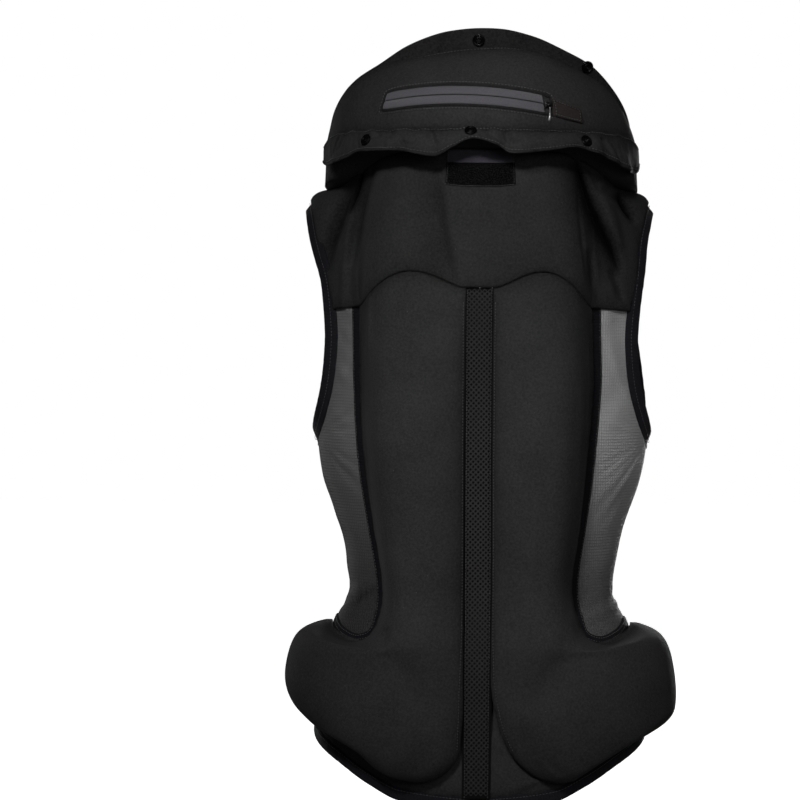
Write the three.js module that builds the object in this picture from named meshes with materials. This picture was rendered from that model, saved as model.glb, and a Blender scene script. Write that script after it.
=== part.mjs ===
// Airbag vest with its chambers inflated, in the shape it has when worn.
// Millimetres, +Z up. The back faces -Y, and the origin lies midway between the shoulders.
// Places on the body are given by their girth, the distance round from the spine, and their height.
import * as THREE from "three";

// Cloth, padding and trim
const CLOTH = 2;
const MESH_CLOTH = 1.6;
const FLAP_CLOTH = 1.6;
const GAP = 0.6;
const SURFACE_GAP = 0.8;
const CHAMBER_SEAT = 2.6;
const WING_LIFT = 2.2;
const CHAMBER_DEPTH = 42;
const WING_DEPTH = 39;
const EDGE_DEPTH = 5;
const TRIM_WIDTH = 8;
const TRIM_DEPTH = 2.2;
const BINDING_WIDTH = 10.5;
const BINDING_DEPTH = 4;
const BINDING_SINK = 1.5;
const HEM_HEIGHT = 11;
const SPINE_HALF = 11;
const SPINE_DEPTH = 4;
const SPINE_ROWS = 18;
const ZIP_HALF = 5.4;
const ZIP_DEPTH = 3;

// Body sections: superellipses with their own depth behind and in front
const ROUNDNESS = 2.3;
const SECTION_STEPS = 96;
const BODY = [
  { z: -40, width: 146, back: 100, front: 90 },
  { z: -95, width: 150, back: 106, front: 98 },
  { z: -150, width: 151, back: 110, front: 108 },
  { z: -215, width: 149, back: 109, front: 112 },
  { z: -250, width: 144, back: 104, front: 108 },
  { z: -285, width: 132, back: 98, front: 102 },
  { z: -320, width: 123, back: 92, front: 97 },
  { z: -356, width: 119, back: 88, front: 94 },
  { z: -380, width: 130, back: 89, front: 96 },
  { z: -400, width: 137, back: 92, front: 99 },
  { z: -440, width: 143, back: 99, front: 103 },
  { z: -490, width: 150, back: 107, front: 107 },
  { z: -550, width: 156, back: 112, front: 110 },
];

// Ribs of a back chamber, from the spine to its outer edge; the last ones fan out into the hip wing
const CHAMBER_RIBS = [
  { spineG: 11.8, spineZ: -78, edgeG: 115, edgeZ: -96, rise: 23 },
  { spineG: 11.8, spineZ: -115, edgeG: 113, edgeZ: -127, rise: 13 },
  { spineG: 11.8, spineZ: -160, edgeG: 109.5, edgeZ: -167, rise: 4 },
  { spineG: 11.8, spineZ: -225, edgeG: 104.5, edgeZ: -225, rise: 0 },
  { spineG: 11.8, spineZ: -290, edgeG: 98, edgeZ: -290, rise: 0 },
  { spineG: 11.8, spineZ: -345, edgeG: 92, edgeZ: -345, rise: 0 },
  { spineG: 11.8, spineZ: -372, edgeG: 94, edgeZ: -376, rise: 0 },
  { spineG: 11.8, spineZ: -393, edgeG: 112, edgeZ: -397, rise: 0 },
  { spineG: 11.8, spineZ: -409, edgeG: 137, edgeZ: -393, rise: 0 },
  { spineG: 11.8, spineZ: -423, edgeG: 166, edgeZ: -386, rise: 0 },
  { spineG: 11.8, spineZ: -436, edgeG: 198, edgeZ: -387, rise: 0 },
  { spineG: 11.8, spineZ: -449, edgeG: 222, edgeZ: -402, rise: 0 },
  { spineG: 12, spineZ: -462, edgeG: 229, edgeZ: -426, rise: 0 },
  { spineG: 14, spineZ: -478, edgeG: 221, edgeZ: -449, rise: 0 },
  { spineG: 21, spineZ: -495, edgeG: 198, edgeZ: -465, rise: 0 },
  { spineG: 34, spineZ: -510, edgeG: 170, edgeZ: -476, rise: -3 },
  { spineG: 54, spineZ: -520, edgeG: 140, edgeZ: -487, rise: -5 },
];
const BORDER_RIBS = 11;
const BORDER_END = { g: 230, z: -388 };
const CHAMBER_ROWS = 32;
const CHAMBER_COLUMNS = 7;
const CROWN_POWER = 2.2;
const CROWN_ROUND = 0.55;
const WING_ROUND = 0.8;
const ROLL_START = 0.78;
const LIFT_FROM = 0.3;
const LIFT_TO = 0.42;
const ARCH_SKEW = 1.1;
const ARCH_POWER = 1.4;

// Armhole edge of the side mesh, then its seam to the front, from the yoke down
const MESH_OUTER = [
  { g: 143, z: -100 },
  { g: 144, z: -138 },
  { g: 149, z: -166 },
  { g: 160, z: -190 },
  { g: 180, z: -211 },
  { g: 205, z: -222 },
  { g: 228, z: -215 },
  { g: 243.5, z: -197.5 },
  { g: 250, z: -240 },
  { g: 246, z: -300 },
  { g: 236, z: -350 },
  { g: 231, z: -377 },
];
const MESH_CORNER = 7;
const MESH_ROWS = 22;
const MESH_COLUMNS = 4;

// Side edge of a front panel: armhole, seam to the mesh, seam to the lower back
const FRONT_SIDE = [
  { g: 274, z: -87 },
  { g: 272, z: -130 },
  { g: 261, z: -172 },
  { g: 246, z: -196 },
  { g: 251, z: -240 },
  { g: 247, z: -300 },
  { g: 237, z: -350 },
  { g: 232, z: -377 },
  { g: 232, z: -396 },
  { g: 238, z: -440 },
  { g: 244, z: -467 },
];
const FRONT_CORNER = 3;
const FRONT_TOP = -87;
const FRONT_BOTTOM = -465;
const FRONT_ROWS = 20;
const FRONT_COLUMNS = 4;

const ARMHOLE_HEART = new THREE.Vector3(132, 2, -110);
const ARMHOLE_GAP = 1;
const ARMHOLE_CORNER = 0.01;

// Hem height round the body
const HEM = [
  { g: 0, z: -546 },
  { g: 69, z: -538 },
  { g: 99, z: -525 },
  { g: 136, z: -506 },
  { g: 180, z: -490 },
  { g: 205, z: -484 },
  { g: 260, z: -479 },
  { g: 330, z: -477 },
];
const HEM_STEPS = 22;
// Top edge of the lower back, under the wings and the trim
const LOWER_BACK_TOP = [
  { g: 0, z: -399 },
  { g: 112, z: -399.5 },
  { g: 137, z: -395.5 },
  { g: 166, z: -388 },
  { g: 198, z: -388.5 },
  { g: 231, z: -390 },
];
const LOWER_BACK_SIDE = { top: 229.8, bottom: 241 };
const LOWER_BACK_COLUMNS = 24;
const LOWER_BACK_ROWS = 4;

// Yoke ribs from the neck to the back seam, by the seam's girth
const YOKE_BACK = [
  { seamG: 0, neckX: 0, neckY: -127, neckZ: 46 },
  { seamG: 35, neckX: 36, neckY: -124, neckZ: 45.5 },
  { seamG: 65, neckX: 66, neckY: -111, neckZ: 43 },
  { seamG: 90, neckX: 88, neckY: -93, neckZ: 37 },
  { seamG: 115, neckX: 104, neckY: -74, neckZ: 29 },
  { seamG: 143, neckX: 113, neckY: -58, neckZ: 22 },
];
// Yoke ribs from the neck to the armhole
const YOKE_SIDE = [
  { neckX: 119, neckY: -42, neckZ: 17, edgeX: 141, edgeY: -47, edgeZ: -52 },
  { neckX: 123, neckY: -24, neckZ: 12, edgeX: 146, edgeY: -27, edgeZ: -16 },
  { neckX: 122, neckY: 4, neckZ: 7, edgeX: 147, edgeY: 0, edgeZ: -3 },
  { neckX: 116, neckY: 30, neckZ: 0, edgeX: 140, edgeY: 32, edgeZ: -22 },
  { neckX: 98, neckY: 56, neckZ: -12, edgeX: 128, edgeY: 56, edgeZ: -56 },
];
// Yoke ribs from the neck to the front seam, evenly spaced along it
const YOKE_FRONT = [
  { neckX: 76, neckY: 72, neckZ: -24 },
  { neckX: 45, neckY: 82, neckZ: -36 },
  { neckX: 6, neckY: 87, neckZ: -44 },
];
const YOKE_SIDE_COLUMNS = 12;
const YOKE_FRONT_COLUMNS = 5;
const YOKE_MESH_COLUMNS = 3;
const YOKE_ROWS = 5;
const YOKE_CENTRE = new THREE.Vector3(0, 0, -90);
const YOKE_SWELL = 7;
const YOKE_PUFF = 8;
const YOKE_NECK_PAD = 20;
const YOKE_FRONT_PAD = 8;
const YOKE_EDGE_PAD = 6;
const YOKE_FRONT_EDGE = 4;
const YOKE_SEAM_DROP = 3.5;

// Collar sections by the angle round the neck from the back
const COLLAR = [
  { turn: 0, rimR: 95, rimZ: 139, bulgeR: 150, seamZ: 64, footZ: 47, innerR: 93 },
  { turn: 26, rimR: 99, rimZ: 134, bulgeR: 150, seamZ: 63, footZ: 46, innerR: 94 },
  { turn: 49, rimR: 111, rimZ: 114.5, bulgeR: 149, seamZ: 61, footZ: 35.5, innerR: 96 },
  { turn: 60, rimR: 119.5, rimZ: 100, bulgeR: 147, seamZ: 59, footZ: 26.5, innerR: 97 },
  { turn: 68, rimR: 126, rimZ: 80, bulgeR: 145, seamZ: 56, footZ: 20.5, innerR: 98 },
  { turn: 81, rimR: 134, rimZ: 48, bulgeR: 140, seamZ: 42, footZ: 12.6, innerR: 99 },
  { turn: 92, rimR: 133, rimZ: 27, bulgeR: 137, seamZ: 20, footZ: 8.4, innerR: 98 },
  { turn: 110, rimR: 122, rimZ: 12, bulgeR: 126, seamZ: 6, footZ: -2, innerR: 96 },
  { turn: 128, rimR: 110, rimZ: -3, bulgeR: 112, seamZ: -8, footZ: -17, innerR: 94 },
];
const COLLAR_END = 128;
const COLLAR_STEPS = 30;
const COLLAR_FACE_ROWS = 5;
const COLLAR_FOOT_ROWS = 2;
const COLLAR_RIM = 5;
const COLLAR_TUCK = 20;
const COLLAR_INNER_PUFF = 6;

// Rim flange: its width and its lean outward from upright
const FLANGE = [
  { turn: 0, width: 16, lean: 8 },
  { turn: 26, width: 14, lean: 14 },
  { turn: 49, width: 13, lean: 27 },
  { turn: 68, width: 9, lean: 48 },
  { turn: 82, width: 7, lean: 66 },
];
const FLANGE_STEPS = 32;
const FLANGE_CLOTH = 2;
const FLANGE_INSET = 3.4;

// Free edge of the collar flap: its height and how far it stands off
const FLAP = [
  { turn: -82, edgeZ: 35, flare: 1.5 },
  { turn: -70, edgeZ: 31, flare: 2.5 },
  { turn: -58, edgeZ: 33, flare: 6 },
  { turn: -48, edgeZ: 37, flare: 9 },
  { turn: -42, edgeZ: 43, flare: 8 },
  { turn: -27, edgeZ: 44, flare: 9 },
  { turn: -14, edgeZ: 39, flare: 8 },
  { turn: -8, edgeZ: 47, flare: 10 },
  { turn: -1.5, edgeZ: 55, flare: 12 },
  { turn: 5.5, edgeZ: 50, flare: 10 },
  { turn: 11, edgeZ: 42, flare: 8 },
  { turn: 23, edgeZ: 45, flare: 9 },
  { turn: 31, edgeZ: 48, flare: 11 },
  { turn: 42, edgeZ: 42, flare: 9 },
  { turn: 52, edgeZ: 33, flare: 8 },
  { turn: 61, edgeZ: 27, flare: 7 },
  { turn: 71, edgeZ: 26, flare: 2.5 },
  { turn: 82, edgeZ: 34, flare: 1.5 },
];
const FLAP_END = 82;
const FLAP_STEPS = 40;
const FLAP_ROWS = 2;
const FLAP_CURL = 1.5;

// Collar zip: an arc on the collar's outer face, with slider, pull and garage at its right end
const COLLAR_ZIP = { from: -39, to: 23, middle: -8, topZ: 93.5, sag: 7.5, half: 7.7, depth: 1.4 };
const COLLAR_ZIP_STEPS = 16;
const SLIDER = { turn: 24.6, width: 7, height: 8.5, depth: 4 };
const PULL = { width: 4.5, height: 15, depth: 1.6, drop: 12.6 };
const GARAGE = { from: 27, to: 35.5, middleZ: 83, half: 8, depth: 1.4, steps: 3 };

// Press studs
const SNAP = { radius: 5.6, hole: 1.8, height: 2.6, shoulder: 0.6, crown: 0.75, segments: 10 };
const NORMAL_REACH = { turn: 0.5, along: 0.05 };
const SNAP_FLANGE = [
  { name: "snap_flange_centre", turn: -1, along: 0.5, gap: 0.8 },
  { name: "snap_flange_right", turn: 52, along: 0.72, gap: 0.8 },
];
const SNAP_FLAP = [
  { name: "snap_flap_left", turn: -42, along: 0.5, gap: 1.2 },
  { name: "snap_flap_centre", turn: -2.4, along: 0.3, gap: 1.2 },
  { name: "snap_flap_right", turn: 37.5, along: 0.5, gap: 1.2 },
];

// Hook patch and its tab on the yoke, by girth and by the share of the yoke rib
const HOOK_HALF = 28.5;
const HOOK_COLUMNS = 4;
const HOOK_ROWS = 2;
const HOOK_TAB = { from: 0.012, to: 0.112, depth: 1.6 };
const HOOK_PATCH = { from: 0.118, to: 0.29, depth: 2.4 };

const FINISHES = {
  softshell: { color: 0x232324, roughness: 0.86, metalness: 0 },
  side_mesh: { color: 0x3c3d40, roughness: 0.9, metalness: 0 },
  spacer_mesh: { color: 0x2b2b2d, roughness: 0.85, metalness: 0 },
  binding: { color: 0x16161c, roughness: 0.75, metalness: 0 },
  zip_tape: { color: 0x3b3a3d, roughness: 0.5, metalness: 0 },
  zip_metal: { color: 0x303134, roughness: 0.35, metalness: 0.8 },
  snap_metal: { color: 0x0c0c0e, roughness: 0.2, metalness: 0.8 },
  hook_tape: { color: 0x141416, roughness: 0.7, metalness: 0 },
};

const vest = new THREE.Group();
vest.name = "airbag_vest";

/** Smooth curve through one column of a table, without overshoot. */
function curve(rows, key, column) {
  const sorted = [...rows].sort((p, q) => p[key] - q[key]);
  const at = sorted.map((row) => row[key]);
  const value = sorted.map((row) => row[column]);
  const last = at.length - 1;
  const slope = (i) => (value[i + 1] - value[i]) / (at[i + 1] - at[i]);
  const tangent = at.map((_, i) => {
    if (i === 0) return slope(0);
    if (i === last) return slope(last - 1);
    const product = slope(i - 1) * slope(i);
    return product <= 0 ? 0 : (2 * product) / (slope(i - 1) + slope(i));
  });
  return (query) => {
    const q = THREE.MathUtils.clamp(query, at[0], at[last]);
    let i = 0;
    while (i < last - 1 && q > at[i + 1]) i += 1;
    const width = at[i + 1] - at[i];
    const t = (q - at[i]) / width;
    const t2 = t * t;
    const t3 = t2 * t;
    return (2 * t3 - 3 * t2 + 1) * value[i] + (t3 - 2 * t2 + t) * width * tangent[i]
      + (3 * t2 - 2 * t3) * value[i + 1] + (t3 - t2) * width * tangent[i + 1];
  };
}

/** Smooth path through rows of points; three names pick the coordinates. */
function path(rows, names, closed = false) {
  const points = rows.map((row) => new THREE.Vector3(...names.map((name) => row[name] ?? 0)));
  return new THREE.CatmullRomCurve3(points, closed, "centripetal");
}

/** Path with a corner at one row: smooth before it and after it. */
function bentPath(rows, names, corner) {
  const before = path(rows.slice(0, corner + 1), names);
  const after = path(rows.slice(corner), names);
  const share = corner / (rows.length - 1);
  const getPoint = (s) => {
    if (s <= share) return before.getPoint(s / share);
    return after.getPoint((s - share) / (1 - share));
  };
  return { getPoint, share };
}

const lerp = THREE.MathUtils.lerp;
const steps = (count) => Array.from({ length: count + 1 }, (_, i) => i / count);
const radians = THREE.MathUtils.degToRad;

const bodyWidth = curve(BODY, "z", "width");
const bodyBack = curve(BODY, "z", "back");
const bodyFront = curve(BODY, "z", "front");
const sectionCache = new Map();

/** Half section of the body at a height, from the spine to the front, with normals and girths. */
function section(z) {
  if (sectionCache.has(z)) return sectionCache.get(z);
  const width = bodyWidth(z);
  const points = [];
  for (const share of steps(SECTION_STEPS)) {
    const angle = Math.PI * share;
    const depth = share < 0.5 ? bodyBack(z) : bodyFront(z);
    const x = width * Math.max(Math.sin(angle), 0) ** (2 / ROUNDNESS);
    const y = -Math.sign(Math.cos(angle)) * depth * Math.abs(Math.cos(angle)) ** (2 / ROUNDNESS);
    const across = (x / width) ** (ROUNDNESS - 1) / width;
    const along = Math.sign(y) * (Math.abs(y) / depth) ** (ROUNDNESS - 1) / depth;
    const norm = Math.hypot(across, along);
    const before = points.at(-1);
    const girth = before ? before.girth + Math.hypot(x - before.x, y - before.y) : 0;
    points.push({ girth, x, y, nx: across / norm, ny: along / norm });
  }
  sectionCache.set(z, points);
  return points;
}

const halfGirth = (z) => section(z).at(-1).girth;

/** Point on the body at a girth and height, moved outward. */
function body(g, z, out) {
  const points = section(z);
  const side = Math.sign(g) || 1;
  const girth = Math.min(Math.abs(g), points.at(-1).girth);
  let i = 1;
  while (i < points.length - 1 && points[i].girth < girth) i += 1;
  const [p, q] = [points[i - 1], points[i]];
  const t = (girth - p.girth) / (q.girth - p.girth);
  const x = lerp(p.x, q.x, t) + lerp(p.nx, q.nx, t) * out;
  const y = lerp(p.y, q.y, t) + lerp(p.ny, q.ny, t) * out;
  return new THREE.Vector3(side * x, y, z);
}

/** Closed solid between two grids of points; a ring also joins its last row to its first. */
function slab(outer, inner, ring = false) {
  const rows = outer.length;
  const columns = outer[0].length;
  const positions = [...outer.flat(), ...inner.flat()].flatMap((p) => p.toArray());
  const out = (i, j) => (i % rows) * columns + j;
  const back = (i, j) => rows * columns + out(i, j);
  const faces = [];
  const quad = (a, b, c, d) => faces.push([a, b, c], [a, c, d]);
  const spans = ring ? rows : rows - 1;
  const last = columns - 1;
  for (let i = 0; i < spans; i += 1) {
    for (let j = 0; j < last; j += 1) {
      quad(out(i, j), out(i + 1, j), out(i + 1, j + 1), out(i, j + 1));
      quad(back(i, j), back(i, j + 1), back(i + 1, j + 1), back(i + 1, j));
    }
    quad(out(i + 1, 0), out(i, 0), back(i, 0), back(i + 1, 0));
    quad(out(i, last), out(i + 1, last), back(i + 1, last), back(i, last));
  }
  for (let j = 0; j < last && !ring; j += 1) {
    quad(out(0, j), out(0, j + 1), back(0, j + 1), back(0, j));
    quad(out(rows - 1, j + 1), out(rows - 1, j), back(rows - 1, j), back(rows - 1, j + 1));
  }
  return solid(positions, faces);
}

/** Geometry of a closed surface with its faces turned outward. */
function solid(positions, faces) {
  const corner = (i) => new THREE.Vector3().fromArray(positions, 3 * i);
  const volume = faces.reduce((sum, [a, b, c]) => sum + corner(a).dot(corner(b).cross(corner(c))), 0);
  const turned = volume < 0 ? faces.map(([a, b, c]) => [a, c, b]) : faces;
  const geometry = new THREE.BufferGeometry();
  geometry.setAttribute("position", new THREE.Float32BufferAttribute(positions, 3));
  geometry.setIndex(turned.flat());
  geometry.computeVertexNormals();
  return geometry;
}

/** Add a named piece with its own material to the vest. */
function add(name, finish, geometry) {
  const mesh = new THREE.Mesh(geometry, new THREE.MeshStandardMaterial(FINISHES[finish]));
  mesh.name = name;
  vest.add(mesh);
}

/** Both sides of a paired piece: build(side) gives the geometry for +1 right and -1 left. */
function addPair(name, finish, build) {
  add(`${name}_right`, finish, build(1));
  add(`${name}_left`, finish, build(-1));
}

/** Panel of cloth on the body between two rows of {g, z} places per line. */
function panel(lines, columns, side, from, to) {
  const grid = (depth) => lines.map(([start, end]) => steps(columns).map((u) => body(
    side * lerp(start.x, end.x, u), lerp(start.y, end.y, u), depth)));
  return slab(grid(to), grid(from));
}

// Back chambers
const spinePath = path(CHAMBER_RIBS, ["spineG", "spineZ", "rise"]);
const edgePath = path(CHAMBER_RIBS, ["edgeG", "edgeZ"]);

/** Place and depth of the chamber's outer face at a share across (u) and down (v). */
function chamber(u, v) {
  const spine = spinePath.getPoint(v);
  const edge = edgePath.getPoint(v);
  const arch = Math.sin(Math.PI * u ** ARCH_SKEW) ** ARCH_POWER;
  const round = lerp(CROWN_ROUND, WING_ROUND, THREE.MathUtils.smoothstep(v, LIFT_FROM, ROLL_START));
  const crown = (1 - Math.abs(2 * u - 1) ** CROWN_POWER) ** round;
  const roll = v < ROLL_START ? 1 : Math.sqrt(1 - ((v - ROLL_START) / (1 - ROLL_START)) ** 2);
  const full = lerp(CHAMBER_DEPTH, WING_DEPTH, v) - EDGE_DEPTH;
  return {
    g: lerp(spine.x, edge.x, u),
    z: lerp(spine.y, edge.y, u) + spine.z * arch,
    depth: EDGE_DEPTH + full * crown * roll,
    seat: CHAMBER_SEAT + WING_LIFT * THREE.MathUtils.smoothstep(v, LIFT_FROM, LIFT_TO),
  };
}

addPair("back_bladder", "softshell", (side) => {
  const grid = (face) => steps(CHAMBER_ROWS).map((v) => steps(CHAMBER_COLUMNS).map((u) => {
    const place = chamber(u, v);
    return body(side * place.g, place.z, place.seat + face * place.depth);
  }));
  return slab(grid(1), grid(0));
});

// Spine strip
const hemZ = curve(HEM, "g", "z");
const spineTop = CHAMBER_RIBS[0].spineZ;
add("spine_mesh", "spacer_mesh", (() => {
  const heights = steps(SPINE_ROWS).map((v) => lerp(spineTop, hemZ(0) + HEM_HEIGHT + GAP, v));
  const grid = (out) => heights.map((z) => [-1, 0, 1].map((s) => body(s * SPINE_HALF, z, out)));
  return slab(grid(CHAMBER_SEAT + SPINE_DEPTH), grid(CHAMBER_SEAT));
})());

// Trim round the side mesh, along the chamber's edge and on round the waist
const borderRows = CHAMBER_RIBS.slice(0, BORDER_RIBS).map((rib) => ({ g: rib.edgeG, z: rib.edgeZ }));
const borderPath = path([...borderRows, BORDER_END], ["g", "z"]);

/** Place beside the chamber's edge at a share of its length, moved off it. */
function border(share, offset) {
  const at = borderPath.getPoint(share);
  const along = borderPath.getTangent(share);
  return new THREE.Vector3(at.x - along.y * offset, at.y + along.x * offset, 0);
}

addPair("mesh_border", "binding", (side) => panel(
  steps(MESH_ROWS).map((s) => [border(s, GAP), border(s, GAP + TRIM_WIDTH)]),
  1, side, 0, TRIM_DEPTH));

// Side mesh
const meshOuter = bentPath(MESH_OUTER, ["g", "z"], MESH_CORNER);
addPair("side_mesh", "side_mesh", (side) => panel(
  steps(MESH_ROWS).map((s) => [border(s, 2 * GAP + TRIM_WIDTH), meshOuter.getPoint(s)]),
  MESH_COLUMNS, side, 0, MESH_CLOTH));

// Front panels and the front zip
const frontSide = bentPath(FRONT_SIDE, ["g", "z"], FRONT_CORNER);
addPair("front_panel", "softshell", (side) => panel(
  steps(FRONT_ROWS).map((s) => {
    const z = lerp(FRONT_TOP, FRONT_BOTTOM, s);
    return [frontSide.getPoint(s), new THREE.Vector3(halfGirth(z) - ZIP_HALF - GAP, z, 0)];
  }),
  FRONT_COLUMNS, side, 0, CLOTH));

// Lower back under the wings
const lowerTop = curve(LOWER_BACK_TOP, "g", "z");
add("lower_back", "softshell", (() => {
  const grid = (out) => steps(LOWER_BACK_ROWS).map((w) => steps(LOWER_BACK_COLUMNS).map((u) => {
    const g = (2 * u - 1) * lerp(LOWER_BACK_SIDE.top, LOWER_BACK_SIDE.bottom, w);
    const bottom = hemZ(Math.abs(g)) + HEM_HEIGHT + GAP;
    return body(g, lerp(lowerTop(Math.abs(g)), bottom, w), out);
  }));
  return slab(grid(CLOTH), grid(0));
})());

// Hem binding, open at the front zip
const hemReach = halfGirth(HEM.at(-1).z) - ZIP_HALF - GAP;
add("hem_binding", "binding", (() => {
  const shares = steps(2 * HEM_STEPS).map((u) => 2 * u - 1);
  const grid = (out) => shares.map((s) => [0, 1].map((w) => {
    const g = s * hemReach;
    return body(g, hemZ(Math.abs(g)) + w * HEM_HEIGHT, out);
  }));
  return slab(grid(BINDING_DEPTH - BINDING_SINK), grid(-BINDING_SINK));
})());

// Yoke
const yokeNeckBack = path(YOKE_BACK, ["neckX", "neckY", "neckZ"]);
const yokeBackShares = YOKE_BACK.map(({ seamG }, i) => ({ seamG, share: i / (YOKE_BACK.length - 1) }));
const yokeSeamShare = curve(yokeBackShares, "seamG", "share");
const chamberSide = CHAMBER_RIBS[0].edgeG;
const yokeReach = YOKE_BACK.at(-1).seamG;

/** Height and depth of the yoke's back seam at a girth. */
function backSeam(g) {
  const start = CHAMBER_RIBS[0].spineG;
  if (g > chamberSide) {
    const share = (g - chamberSide) / (yokeReach - chamberSide);
    return { z: CHAMBER_RIBS[0].edgeZ - share * YOKE_SEAM_DROP, depth: EDGE_DEPTH };
  }
  return chamber(Math.max(g - start, 0) / (chamberSide - start), 0);
}

/** Yoke rib by the back seam's girth: neck point, outer and inner edge points. */
function backRib(g) {
  const seam = backSeam(Math.abs(g));
  const z = seam.z + GAP;
  const neck = yokeNeckBack.getPoint(yokeSeamShare(Math.abs(g)));
  neck.x *= Math.sign(g);
  return {
    neck,
    edge: body(g, z, CHAMBER_SEAT + seam.depth),
    inner: body(g, z, CHAMBER_SEAT),
    pad: YOKE_NECK_PAD,
  };
}

const yokeNeckFront = path(YOKE_FRONT, ["neckX", "neckY", "neckZ"]);
const mirror = (side) => new THREE.Vector3(side, 1, 1);

/** Yoke rib at a share of the front seam, from the armhole (0) to the zip (1). */
function frontRib(share, side = 1) {
  const z = FRONT_TOP + GAP;
  const g = side * lerp(FRONT_SIDE[0].g, halfGirth(z) - ZIP_HALF - GAP, share);
  return {
    neck: yokeNeckFront.getPoint(share).multiply(mirror(side)),
    edge: body(g, z, YOKE_FRONT_EDGE),
    inner: body(g, z, 0),
    pad: YOKE_FRONT_PAD,
  };
}

const firstFront = frontRib(0);
const lastBack = backRib(yokeReach);
const through = (first, names, last) => new THREE.CatmullRomCurve3(
  [first, ...path(YOKE_SIDE, names).points, last], false, "centripetal");
const neckSide = through(lastBack.neck, ["neckX", "neckY", "neckZ"], firstFront.neck);
const edgeSide = through(lastBack.edge, ["edgeX", "edgeY", "edgeZ"], firstFront.edge);

/** Yoke rib from the end of the back seam (0) over the shoulder to the front seam (1). */
function sideRib(share, side = 1) {
  const edge = edgeSide.getPoint(share).multiply(mirror(side));
  const outward = edge.clone().sub(YOKE_CENTRE).normalize();
  return {
    neck: neckSide.getPoint(share).multiply(mirror(side)),
    edge,
    inner: edge.clone().addScaledVector(outward, -YOKE_EDGE_PAD),
    pad: lerp(YOKE_NECK_PAD, YOKE_FRONT_PAD, share),
  };
}

/** Outer point of the yoke on a rib, from the neck (0) to the edge (1). */
function yokeOuter(rib, w) {
  const middle = rib.neck.clone().lerp(rib.edge, 0.5);
  const outward = middle.clone().sub(YOKE_CENTRE).normalize();
  return rib.neck.clone().lerp(rib.edge, w).addScaledVector(outward, 4 * w * (1 - w) * YOKE_SWELL);
}

/** Inner point of the yoke on a rib. */
function yokeInner(rib, w) {
  const outer = yokeOuter(rib, w);
  const atEdge = rib.edge.clone().sub(rib.inner);
  const outward = outer.clone().sub(YOKE_CENTRE).normalize().lerp(atEdge.clone().normalize(), w).normalize();
  const thickness = lerp(rib.pad, atEdge.length(), w) + 4 * w * (1 - w) * YOKE_PUFF;
  return outer.addScaledVector(outward, -thickness);
}

const seamGirths = [
  ...steps(CHAMBER_COLUMNS).map((u) => lerp(CHAMBER_RIBS[0].spineG, chamberSide, u)),
  ...steps(YOKE_MESH_COLUMNS).slice(1).map((u) => lerp(chamberSide, yokeReach, u)),
];
const halfRibs = (side) => [
  ...seamGirths.map((g) => backRib(side * g)),
  ...steps(YOKE_SIDE_COLUMNS).slice(1, -1).map((share) => sideRib(share, side)),
  ...steps(YOKE_FRONT_COLUMNS).map((share) => frontRib(share, side)),
];
const yokeRibs = [...halfRibs(-1).toReversed(), backRib(0), ...halfRibs(1)];
add("yoke", "softshell", slab(
  yokeRibs.map((rib) => steps(YOKE_ROWS).map((w) => yokeOuter(rib, w))),
  yokeRibs.map((rib) => steps(YOKE_ROWS).map((w) => yokeInner(rib, w)))));

// Front zip, from the neck down over the yoke's front seam to the hem
add("front_zip", "zip_tape", (() => {
  const end = frontRib(1);
  const onYoke = steps(YOKE_ROWS).slice(0, -1).map((w) => yokeOuter(end, w));
  const heights = steps(FRONT_ROWS).map((s) => lerp(FRONT_TOP, FRONT_BOTTOM, s));
  const line = [
    ...onYoke.map((at) => ({ y: at.y - ZIP_DEPTH, z: at.z })),
    ...heights.map((z) => ({ y: bodyFront(z), z })),
  ];
  const grid = (out) => line.map(({ y, z }) => [-1, 1].map(
    (s) => new THREE.Vector3(s * ZIP_HALF, y + out, z)));
  return slab(grid(ZIP_DEPTH), grid(-GAP));
})());

// Armhole binding: a ring along the edges of the yoke, the front panel and the side mesh
const onCloth = (place) => ({
  at: body(place.x, place.y, CLOTH / 2),
  normal: body(place.x, place.y, 1).sub(body(place.x, place.y, 0)),
});
const armhole = [
  ...steps(YOKE_SIDE_COLUMNS).slice(1, -1).map((share) => {
    const { edge, inner } = sideRib(share);
    return { at: edge.clone().lerp(inner, 0.5), normal: edge.clone().sub(inner).normalize() };
  }),
  ...steps(FRONT_ROWS).filter((s) => s <= frontSide.share).map((s) => onCloth(frontSide.getPoint(s))),
  ...steps(MESH_ROWS).slice(1).filter((s) => s < meshOuter.share - ARMHOLE_CORNER).toReversed()
    .map((s) => onCloth(meshOuter.getPoint(s))),
];

addPair("armhole_binding", "binding", (side) => {
  const grid = (out) => armhole.map(({ at, normal }, i) => {
    const next = armhole[(i + 1) % armhole.length].at;
    const along = next.clone().sub(armhole.at(i - 1).at);
    const across = along.cross(normal).normalize();
    if (across.dot(ARMHOLE_HEART.clone().sub(at)) < 0) across.negate();
    return [ARMHOLE_GAP, BINDING_WIDTH].map((width) => at.clone()
      .addScaledVector(across, width)
      .addScaledVector(normal, out)
      .multiply(mirror(side)));
  });
  return slab(grid(BINDING_DEPTH - BINDING_SINK), grid(-BINDING_SINK), true);
});

// Collar
const collar = Object.fromEntries(Object.keys(COLLAR[0]).map((name) => [name, curve(COLLAR, "turn", name)]));

/** Point at a turn round the neck, a radius and a height. */
function polar(turn, radius, z) {
  return new THREE.Vector3(radius * Math.sin(radians(turn)), -radius * Math.cos(radians(turn)), z);
}

/** Radius of the collar's outer face. */
function collarRadius(turn, z) {
  const at = Math.abs(turn);
  const bulge = collar.bulgeR(at);
  const seam = collar.seamZ(at);
  if (z < seam) return bulge - COLLAR_TUCK * ((seam - z) / (seam - collar.footZ(at))) ** 2;
  const rise = (z - seam) / (collar.rimZ(at) - seam);
  return collar.rimR(at) + (bulge - collar.rimR(at)) * (1 - rise * rise);
}

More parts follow.
